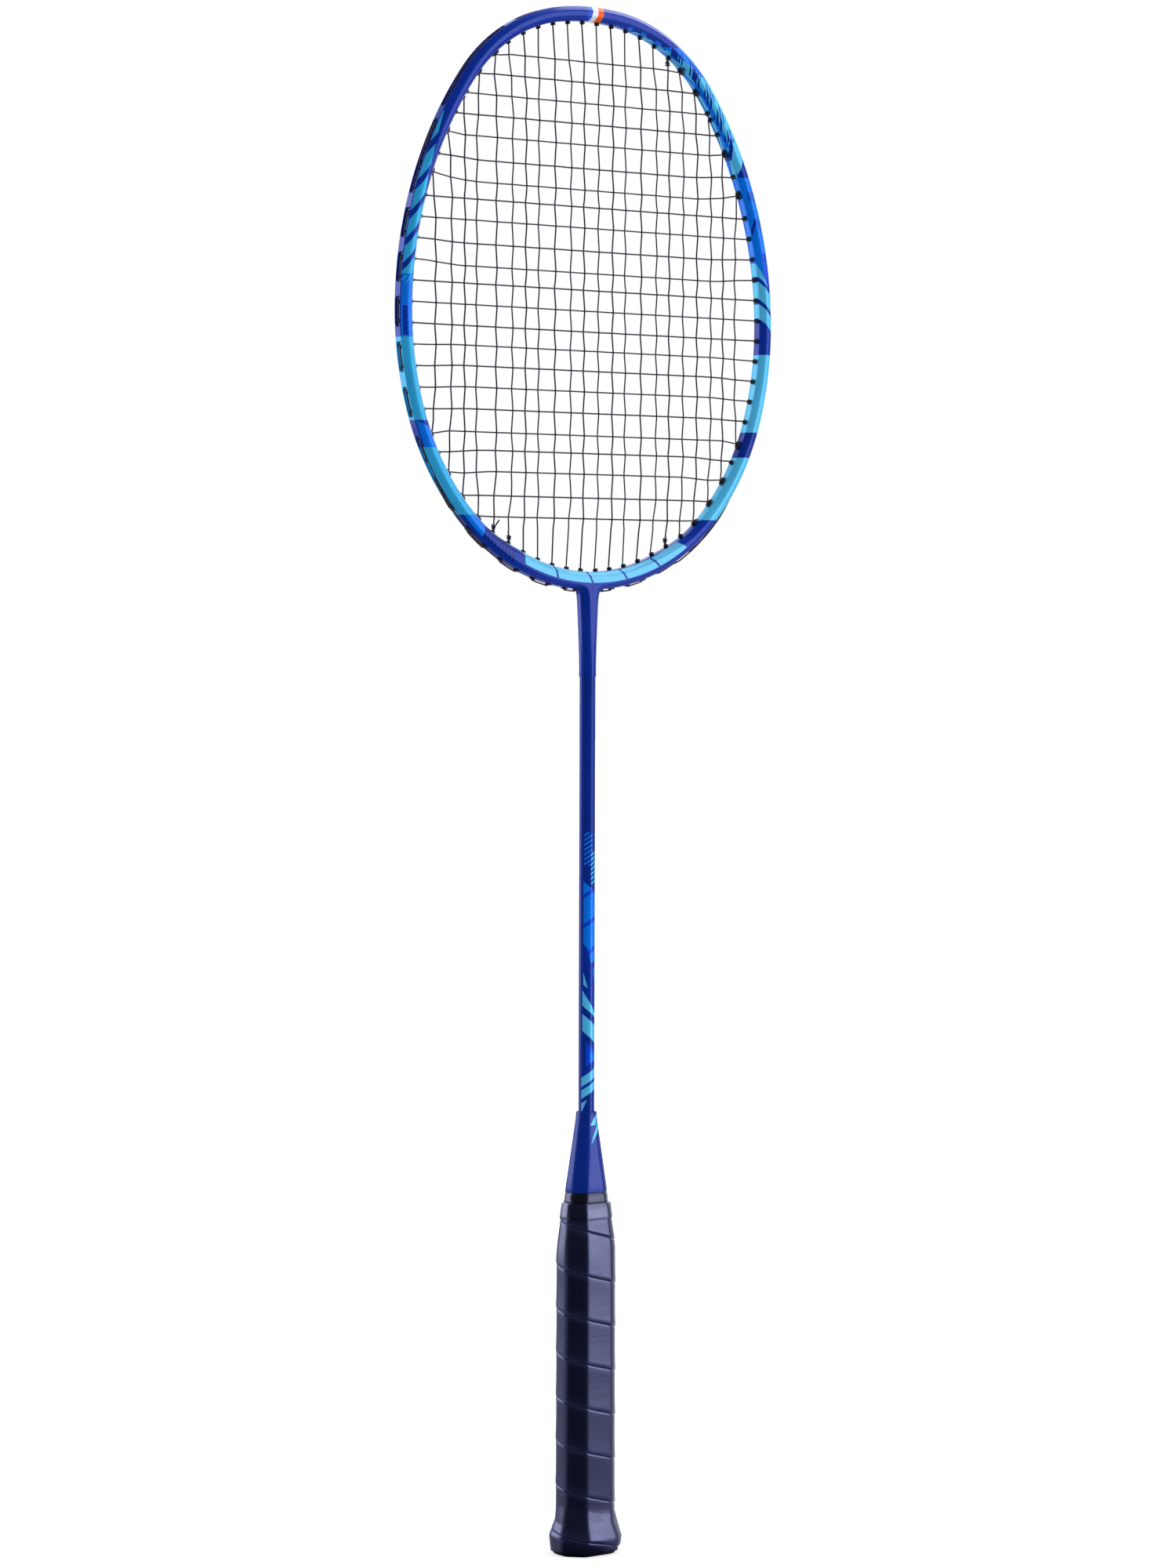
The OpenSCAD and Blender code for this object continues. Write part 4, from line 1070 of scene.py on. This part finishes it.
def grommet(bm, inner, outer, stretch=1.0):
    """A barrel from its lip inside the head to its flange outside; stretch widens it in plane."""
    length = (outer - inner).length
    fat = 1.0 if stretch == 1.0 else SHARED_FAT
    profile = [(r * fat, h) for r, h in LIP_PROFILE] + [(1.08, 0.95), (1.08, length - 0.5)]
    profile += [(r, length - h) for r, h in FLANGE_PROFILE]
    line = [bm.verts.new((r, 0, h)) for r, h in profile]
    edges = [bm.edges.new(pair) for pair in zip(line, line[1:])]
    before = set(bm.verts) - set(line)
    bmesh.ops.spin(bm, geom=line + edges, cent=(0, 0, 0), axis=(0, 0, 1), angle=2 * math.pi,
                   steps=GROMMET_SIDES, use_merge=True)
    made = [v for v in bm.verts if v not in before]
    along = (outer - inner).normalized()
    across = along.cross(Vector((0, 1, 0))).normalized()
    frame_of_hole = Matrix((across * stretch, Vector((0, 1, 0)), along)).transposed().to_4x4()
    bmesh.ops.transform(bm, matrix=Matrix.Translation(inner) @ frame_of_hole, verts=made)


def main_low_exit(k):
    """Outer end of a main string's lower hole; the two beside the throat slant outwards."""
    return throat_exit if k == 0 else main_low[k]


def lip(side, turn):
    """Where a grommet's lip stands, inside the head."""
    return rim(turn, tube_width(turn) + BARREL_STAND, side)


def flange(side, turn):
    """Where a grommet's flange lies, outside the head."""
    return rim(turn, flange_inset(turn), side)


print("shortest grommet", round((lip(1, 0) - flange(1, 0)).length, 2), "mm")

# %% Grommets in their holes
families = {"main_grommets_top": [], "main_grommets_bottom": [], "cross_grommets_left": [],
            "cross_grommets_right": []}
for side, cross_family in ((-1, "cross_grommets_left"), (1, "cross_grommets_right")):
    for k in range(MAINS):
        families["main_grommets_top"].append((side, main_top[k], main_top[k], top_own[k]))
        families["main_grommets_bottom"].append((side, main_low[k], main_low_exit(k), low_own[k]))
    for i in range(CROSSES):
        if not cross_shares[i]:
            families[cross_family].append((side, cross_turn[i], cross_turn[i], cross_turn[i]))
for name, holes in families.items():
    bm = bmesh.new()
    for side, turn_in, turn_out, own in holes:
        alone = abs(own - turn_in) < 0.01
        grommet(bm, lip(side, turn_in), flange(side, turn_out), 1.0 if alone else SHARED_STRETCH)
    make_piece(bm, name.replace("grommets", "barrels"), grommet_nylon, [name],
               crease=60)

# %% [markdown]
# ## Strings
# The two strings are woven over and under each other, so each one waves by a little less than its
# own thickness at every crossing. They are drawn as curves with a round bevel. A wave from a
# texture would be cheaper, but the crossings are what the eye looks for in a string bed.

# %% The weave
MAIN_WAVE, CROSS_WAVE = 0.46, 0.26      # how far each string swings at a crossing
LEAD_IN = 9.0                           # over which a string swings from its line to its hole
# play has pulled some strings aside, by these millimetres: mains to the right, crosses upward
MAIN_SLACK = {-11: -0.3, -9: -0.8, -8: -2.4, -6: 0.9, -4: -0.8, -2: 0.9, 2: -0.8, 4: 0.9, 9: -0.8,
              10: -1.8}
CROSS_SLACK = {5: -1.3, 6: -1.6, 9: -1.0, 10: -1.6, 14: 0.7, 15: 1.0, 16: 1.0, 17: 0.7, 19: 1.3,
               20: 1.3}
USUAL_SLACK = 0.2                       # of a main string that isn't listed
SIDE_PULL = 1.2                         # all mains together
MAIN_EASE, CROSS_EASE = 30, 25          # from a string's end to where its slack is whole


def weave(number, i):
    """1 where main string number passes behind cross string i, and -1 where it passes in front."""
    return 1 if (number + i) % 2 == 0 else -1


def main_ends(number):
    """Lower and upper end of a main string; numbers below 0 are on the left."""
    k, side = (number, 1) if number >= 0 else (-1 - number, -1)
    return [rim(turns[k], mouth_inset(turns[k]), side) for turns in (main_low, main_top)]


def main_at(number, z):
    """Where a main string stands at a height: its even place, plus its slack."""
    low, high = main_ends(number)
    lead = ease(z, low.z, low.z + LEAD_IN) * (1 - ease(z, high.z - LEAD_IN, high.z))
    slack = ease(z, low.z, low.z + MAIN_EASE) * (1 - ease(z, high.z - MAIN_EASE, high.z))
    end_x = low.x if z < (low.z + high.z) / 2 else high.x
    return ((number + 0.5) * MAIN_PITCH * lead + end_x * (1 - lead)
            + (SIDE_PULL + MAIN_SLACK.get(number, USUAL_SLACK)) * slack)


def cross_at(i, x):
    """How high a cross string lies at a place across the head."""
    end = rim(cross_turn[i], mouth_inset(cross_turn[i]), 1)
    lead = ease(end.x - abs(x), 0, LEAD_IN)
    slack = CROSS_SLACK.get(i, 0) * ease(end.x - abs(x), 0, CROSS_EASE)
    return cross_z[i] * lead + end.z * (1 - lead) + slack


print("middle main at mid height:", round(main_at(0, cross_z[12]), 2), "mm to the right")

# %% One main and one cross string
MAIN_CREST, CROSS_CREST = 0.9, 0.8      # half the length of a string's bend round a crossing
SHOULDER = 0.9                          # share of its swing that it has at both ends of the bend
MAIN_GAP, CROSS_GAP = 2.0, 1.5          # a crossing lies at least this far inside a string's ends
ROOM = 1.0                              # a point midway to a crossing needs this much to the last


def main_rise(side, k):
    """Points of one main string from its lower grommet to its upper one."""
    number = k if side > 0 else -1 - k
    low, high = main_ends(number)
    points = [low + Vector((0, STRING_LAYER, 0))]
    crossing = [i for i in range(CROSSES) if low.z + MAIN_GAP < cross_z[i] < high.z - MAIN_GAP]
    for i in reversed(crossing):
        z, wave = cross_at(i, main_at(number, cross_z[i])), weave(number, i) * MAIN_WAVE
        if z - CROSS_PITCH / 2 > low.z + ROOM:
            points.append(Vector((0, 0, z - CROSS_PITCH / 2)))
        points += [Vector((0, SHOULDER * wave, z - MAIN_CREST)), Vector((0, wave, z)),
                   Vector((0, SHOULDER * wave, z + MAIN_CREST))]
    points.append(high + Vector((0, STRING_LAYER, 0)))
    for p in points[1:-1]:
        p.x = main_at(number, p.z)
    return points


def cross_span(i):
    """Points of one cross string from left to right."""
    left, right = [rim(cross_turn[i], mouth_inset(cross_turn[i]), side) for side in (-1, 1)]
    numbers = [n for n in range(-MAINS, MAINS) if abs((n + 0.5) * MAIN_PITCH) < right.x - CROSS_GAP]
    points = [left + Vector((0, -STRING_LAYER, 0))]
    for n in numbers:
        x, wave = main_at(n, cross_z[i]), -weave(n, i) * CROSS_WAVE
        if x - MAIN_PITCH / 2 > points[-1].x + ROOM:
            points.append(Vector((x - MAIN_PITCH / 2, 0, 0)))
        points += [Vector((x - CROSS_CREST, SHOULDER * wave, 0)), Vector((x, wave, 0)),
                   Vector((x + CROSS_CREST, SHOULDER * wave, 0))]
    points.append(right + Vector((0, -STRING_LAYER, 0)))
    for p in points[1:-1]:
        p.z = cross_at(i, p.x)
    return points


print("points of the middle main:", len(main_rise(1, 0)), "and of a cross:", len(cross_span(12)))

# %% [markdown]
# Outside the head a string runs in the groove from one hole to the next, and bends softly into
# each. A tied end goes back in through a main string's grommet and stands up beside that string.

# %% Runs in the groove and tied ends
BEND = 0.5                              # a string leaves its hole over this length
BEND_PLACE, BEND_DEPTH = 0.3, 0.15      # a point in the bend: share of its length, and depth
START_DEPTH = 0.5                       # a run starts and ends this deep in its holes
RUN_STEP = 1.5                          # degrees between two points of a run, at most
SHORT_OF_TIE = 1.5                      # degrees before its last hole at which a tied end turns in
FIRST_STEP = 1.4                        # a tail goes straight on at first
HALF_FALL, TAIL_FALL = 0.3, 0.7         # and then leans to the front, half way and at its end


def groove_run(side, start, end, y, into_hole=True):
    """Along the groove from one hole to the next, with a soft bend out of and into them."""
    bend = math.degrees(BEND / ARC_RADII[arc_at(abs(start))]) * (1 if end > start else -1)
    first, last = start + bend, end - bend if into_hole else end
    count = max(1, math.ceil(abs(last - first) / RUN_STEP))
    path = [(start, START_DEPTH), (start + BEND_PLACE * bend, BEND_DEPTH)]
    path += [(first + (last - first) * i / count, 0) for i in range(count + 1)]
    path += [(end - BEND_PLACE * bend, BEND_DEPTH), (end, START_DEPTH)] if into_hole else []
    return [rim(abs(t), outer_string_inset(abs(t)) + sunk, side if t >= 0 else -side, y)
            for t, sunk in path]


def tail(side, k, top, y, lean, length):
    """A tied end: in through a main string's grommet and a little way up beside the string."""
    turn = main_top[k] if top else main_low[k]
    start = rim(turn, mouth_inset(turn), side, y)
    way = -1 if top else 1
    return [start, start + Vector((0, 0, FIRST_STEP * way)),
            start + Vector((0.3 * lean, -HALF_FALL, 0.5 * length * way)),
            start + Vector((lean, -TAIL_FALL, length * way))]


def tied_end(side, start, k, y, tail_y, lean, length):
    """From a hole along the groove to the grommet of main string k, and in beside that string."""
    turn = main_low[k]
    return (groove_run(side, start, turn - SHORT_OF_TIE, y, False)
            + [rim(turn, outer_string_inset(turn), side, tail_y)]
            + tail(side, k, False, tail_y, lean, length))


print("points of a run:", len(groove_run(1, main_top[1], main_top[2], STRING_LAYER)))

# %% Route of the main string
def half_route(side):
    """The main string from the middle of the top outward, down one hole and up the next."""
    route = []
    for k in range(MAINS):
        down = k % 2 == 0
        rise = main_rise(side, k)
        route += list(reversed(rise)) if down else rise
        if k < MAINS - 1:
            holes = [main_low_exit(k), main_low_exit(k + 1)] if down else main_top[k:k + 2]
            route += groove_run(side, *holes, STRING_LAYER)
    return route


def main_end(side, lean):
    """The tied end of the main string on one side."""
    return tied_end(side, main_low[-1], TIE_MAIN, -3 * STRING_LAYER, -STRING_LAYER, lean,
                    length=4.4)


main_route = list(reversed(half_route(-1) + main_end(-1, lean=-1.3)))
main_route += groove_run(1, -main_top[0], main_top[0], STRING_LAYER)
main_route += half_route(1) + main_end(1, lean=-0.5)
print("points of the main string:", len(main_route))

# %% Route of the cross string
cross_route = list(reversed(tail(1, TIE_MAIN, True, -STRING_LAYER, lean=0.3, length=2.9)))
cross_route += groove_run(1, main_top[TIE_MAIN], cross_turn[0], -STRING_LAYER)
for i in range(CROSSES):
    span = cross_span(i)
    cross_route += span if i % 2 else list(reversed(span))
    if i < CROSSES - 1:
        side = 1 if i % 2 else -1
        cross_route += groove_run(side, cross_turn[i], cross_turn[i + 1], -STRING_LAYER)
cross_route += tied_end(-1, cross_turn[-1], TIE_CROSS, -STRING_LAYER, -STRING_LAYER, lean=2.2,
                        length=4.6)
print("points of the cross string:", len(cross_route))

# %% String tool
def string_piece(name, route, thickness, node):
    """A round string along a route, as a bevelled curve in metres."""
    line = bpy.data.curves.new(name, "CURVE")
    line.dimensions = "3D"
    line.bevel_depth = thickness / 2 * MM
    line.bevel_resolution = 1
    line.use_fill_caps = True
    spline = line.splines.new("POLY")
    spline.points.add(len(route) - 1)
    for point, place in zip(spline.points, route):
        point.co = (*(place * MM), 1)
    line.materials.append(string_nylon)
    piece = bpy.data.objects.new(name, line)
    bpy.context.scene.collection.objects.link(piece)
    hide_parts(node)
    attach(piece, BODY)
    print(name, round(sum((b - a).length for a, b in zip(route, route[1:])) * MM, 2), "m long")


string_piece("main_lacing", main_route, STRING_D, "main_string")
string_piece("cross_lacing", cross_route, STRING_D, "cross_string")

# %% [markdown]
# ## Knots
# Each end is tied off beside a main string with two small half hitches. At 2 mm they look like a
# short tight coil of string round the pair, so a helix is drawn for each knot, and the real path
# of a hitch, which is longer to write, would show no more.

# %% Knots
KNOT_TURNS, KNOT_STEPS = 2.4, 40
KNOT_LOW, KNOT_LENGTH = 0.75, 1.7       # from the grommet's lip, and from end to end
KNOT_WIDTH, KNOT_DEPTH = 0.62, 0.98     # reach of the coil across and to the front and back
KNOT_STRING = 0.62                      # pulled thinner than the string


def knot_route(side, k, top):
    """A coil round a main string and the tied end beside it."""
    turn = main_top[k] if top else main_low[k]
    start = rim(turn, mouth_inset(turn), side)
    way = -1 if top else 1
    return [start + Vector((KNOT_WIDTH * math.cos(2 * math.pi * KNOT_TURNS * j / KNOT_STEPS),
                            KNOT_DEPTH * math.sin(2 * math.pi * KNOT_TURNS * j / KNOT_STEPS),
                            way * (KNOT_LOW + KNOT_LENGTH * j / KNOT_STEPS)))
            for j in range(KNOT_STEPS + 1)]


for i, where in enumerate(((-1, TIE_MAIN, False), (1, TIE_MAIN, False), (-1, TIE_CROSS, False),
                           (1, TIE_MAIN, True))):
    string_piece(f"knot_{i}", knot_route(*where), KNOT_STRING, "string_knots")

# %% [markdown]
# ## Cone
# A plastic cone covers the joint of shaft and handle. It goes from the handle's eight sides to the
# shaft's round. So each ring is a share of the lower and of the upper octagon, and the upper one is
# drawn so soft that it is almost a circle.

# %% Cone
CONE_LOW, CONE_TOP = 157.7, 192.7
CONE_EDGE, CONE_ROLL = 0.3, 1.6         # height of the soft edge below and of the roll on top
cone_foot, cone_head = octagon(19.2, 14.6, 4.4, 26), octagon(9.0, 8.6, 2.5, 16)
bore = circle(SHAFT_D + 0.1)
run = CONE_TOP - CONE_LOW - CONE_ROLL - 0.5
levels = [(CONE_LOW, between(cone_foot, cone_head, 0.012)), (CONE_LOW + CONE_EDGE, cone_foot)]
levels += [(CONE_LOW + CONE_EDGE + run * share, between(cone_foot, cone_head, share))
           for share in (0.2, 0.4, 0.6, 0.8, 0.98)]
levels += [(CONE_TOP - CONE_ROLL, octagon(9.1, 8.8, 2.5, 14)),
           (CONE_TOP - 0.35, octagon(9.0, 8.7, 2.5, 14)), (CONE_TOP, octagon(8.5, 8.3, 2.4, 12)),
           (CONE_TOP, bore), (CONE_TOP - 1.0, bore)]
bm = bmesh.new()
stack(bm, levels, caps=(True, False))
make_piece(bm, "cone", cone_plastic, ["cone_cap"])

# %% [markdown]
# ## Handle's outside
# How far the handle's sides stand out depends on the height: a swelling at the butt that stops the
# hand, a long straight part and a taper under the cone. The tape, its end band and the cap all
# follow the same function, so they fit each other by themselves.

# %% Sides of the handle
HANDLE_WIDTH, HANDLE_DEPTH, HANDLE_BEVEL = 26.8, 20.2, 6.1
GRIP_LOW, GRIP_TOP = 1.65, 153.0
CORE_TOP, CORE_TAPER, CORE_NARROWING = 154.0, 21.0, 2.6
KNOB_OUT, KNOB_LEVEL, FLARE_LEVEL = 3.0, 7.0, 17.0
KNOB_ROUNDING = 0.6             # share of the knob's standing out that it loses at the butt end
BEVEL_SHARE = 2 - math.sqrt(2)  # keeps the slanting sides as far out as the others


def side_out(z):
    """How far the tape's outside stands out from the straight handle at a height."""
    if z < KNOB_LEVEL:
        knob = KNOB_OUT * (1 - KNOB_ROUNDING * ((KNOB_LEVEL - z) / KNOB_LEVEL) ** 2)
    else:
        knob = KNOB_OUT * (1 - ease(z, KNOB_LEVEL, FLARE_LEVEL))
    return knob - CORE_NARROWING * max(0.0, z - CORE_TOP + CORE_TAPER) / CORE_TAPER


def handle_side(out):
    """The handle's octagon, with all its sides moved out."""
    return octagon(HANDLE_WIDTH + 2 * out, HANDLE_DEPTH + 2 * out,
                   HANDLE_BEVEL + BEVEL_SHARE * out, 26)


print("knob stands out", side_out(KNOB_LEVEL), "mm")

# %% [markdown]
# ## Grip
# The grip is a band of soft polyurethane tape wound up the handle from the butt. Each turn covers
# the upper edge of the turn below, so its lower edge stands up as a fine step. The tape's section
# is drawn out point by point round the handle, rising by one pitch in each turn. A spiral groove
# in a smooth handle would be simpler, but it has no step, and the step is what catches the light.

# %% Steps round the handle
GRIP_PITCH = 19.2
STATIONS = 72                           # rings of the tape in each turn
start_angle = math.atan2(HANDLE_BEVEL - HANDLE_DEPTH / 2, HANDLE_WIDTH / 2)
outline = [octagon_point(start_angle - 2 * math.pi * i / STATIONS, HANDLE_WIDTH, HANDLE_DEPTH,
                         HANDLE_BEVEL) for i in range(STATIONS + 1)]
lengths = [(b - a).length for a, b in zip(outline, outline[1:])]
girth = [sum(lengths[:i]) / sum(lengths) for i in range(STATIONS + 1)]


def girth_share(turns):
    """Share of the way round the handle after a number of clockwise turns."""
    whole, part = divmod(turns, 1)
    return whole + girth[int(round(part * STATIONS))]


print("round the handle:", round(sum(lengths), 1), "mm")

# %% Wind the tape
# the tape's outer side: height above its lower edge, and how far it stands out
TAPE_SECTION = ((0.02, -1.0), (0.0, -0.3), (0.1, -0.02), (0.32, 0.15), (0.8, 0.21), (1.6, 0.19),
                (4.5, 0.07), (10.0, 0.0), (16.0, -0.02), (17.9, 0.03), (18.5, 0.0), (18.9, -0.12),
                (19.15, -0.38), (19.3, -1.0))
# and how much hands have polished it at each of these points, most near the edges; the same share
# paints a lighter colour there, a painted highlight
EDGE_POLISH_AND_HIGHLIGHT = (0, 0.2, 0.8, 1.0, 0.6, 0.3, 0, 0, 0, 0.4, 0.9, 1.0, 0.4, 0)
LEAST_TAPE = 1.5                        # a ring cut lower than this at either end is left out


def tape_ring(station):
    """The tape's section at one step of its way up, cut level at the handle's ends."""
    turns = station / STATIONS
    foot = GRIP_LOW - GRIP_PITCH + GRIP_PITCH * girth_share(turns)
    angle = start_angle - 2 * math.pi * turns
    ring = []
    for height, out in TAPE_SECTION:
        z = min(max(foot + height, GRIP_LOW), GRIP_TOP)
        ring.append(handle_side(side_out(z) + out)(angle) + Vector((0, 0, z)))
    return ring


count = math.ceil(((GRIP_TOP - GRIP_LOW) / GRIP_PITCH + 1) * STATIONS)
stations = [tape_ring(i) for i in range(count)]
stations = [s for s in stations if max(p.z for p in s) - min(p.z for p in s) > LEAST_TAPE]
bm = bmesh.new()
polish_and_highlight_mark = bm.verts.layers.float.new("edge")
ring = ring_of(bm, stations[0])
rings = [ring]
for station in stations[1:]:
    ring = draw_out(bm, ring, station)
    rings.append(ring)
# each point's share of polish, which lowers roughness, and of painted highlight, a lighter colour
for ring in rings:
    for v, shine in zip(ring, EDGE_POLISH_AND_HIGHLIGHT):
        v[polish_and_highlight_mark] = shine
bm.faces.new(reversed(rings[0]))
bm.faces.new(rings[-1])
bmesh.ops.remove_doubles(bm, verts=bm.verts, dist=0.001)
make_piece(bm, "wound_grip", grip_tape, ["grip_wrap"], crease=50)

# %% [markdown]
# ## Bands at the top of the grip
# Glossy tape holds the end of the grip, and a rubber band closes the gap under the cone. Each one
# is a stack of rings again, which lets its edges be as thin and as soft as the real ones.

# %% Finishing tape
# height, and how far the tape stands out from the grip's side there
END_TAPE = ((145.9, -0.3), (146.0, 0.3), (146.3, 0.42), (148.0, 0.42), (150.0, 0.42), (152.3, 0.42),
            (153.0, 0.25), (153.3, -0.2), (153.3, -2.0))
bm = bmesh.new()
stack(bm, [(z, handle_side(side_out(z) + out)) for z, out in END_TAPE], caps=(False, False))
make_piece(bm, "end_tape", finish_tape, ["finishing_tape"])

# %% Rubber band
# height, width, depth and bevel
BASE_RING = ((152.9, 19.0, 14.4, 4.2), (153.3, 20.2, 14.9, 4.4), (153.9, 20.4, 15.1, 4.4),
             (154.3, 19.9, 14.8, 4.4), (155.5, 19.6, 14.7, 4.4), (157.2, 19.3, 14.6, 4.4),
             (157.65, 18.6, 14.0, 4.2))
levels = [(z, octagon(width, depth, bevel)) for z, width, depth, bevel in BASE_RING]
levels.append((157.65, circle(13)))
bm = bmesh.new()
stack(bm, levels, caps=(False, False))
make_piece(bm, "base_ring", band_rubber, ["base_band"])

# %% [markdown]
# ## Butt cap
# The cap closes the handle's end: a plate with a softened edge and a shallow ring moulded in it. It
# is one stack of rings, which goes down its side and then inwards over the plate.

# %% Butt cap
CAP_TOP, PLATE_TOP = 12.0, 1.6
butt = side_out(0.0)
levels = [(CAP_TOP, handle_side(side_out(CAP_TOP) - 1.55)),
          (PLATE_TOP, handle_side(side_out(PLATE_TOP) - 1.55)),
          (PLATE_TOP, handle_side(side_out(PLATE_TOP) - 0.75)),
          (PLATE_TOP - 0.3, handle_side(side_out(PLATE_TOP) - 0.6)),
          (0.4, handle_side(side_out(0.4) - 0.75)), (0.06, handle_side(butt - 1.15)),
          (0.0, handle_side(butt - 1.9))]
PLATE = ((0.0, -3.0), (0.45, -3.6), (0.5, -6.0), (0.25, -6.6), (0.2, -7.4))     # its underside
levels += [(z, handle_side(out)) for z, out in PLATE]
bm = bmesh.new()
stack(bm, levels, caps=(False, True))
make_piece(bm, "cap", cap_plastic, ["butt_cap"])
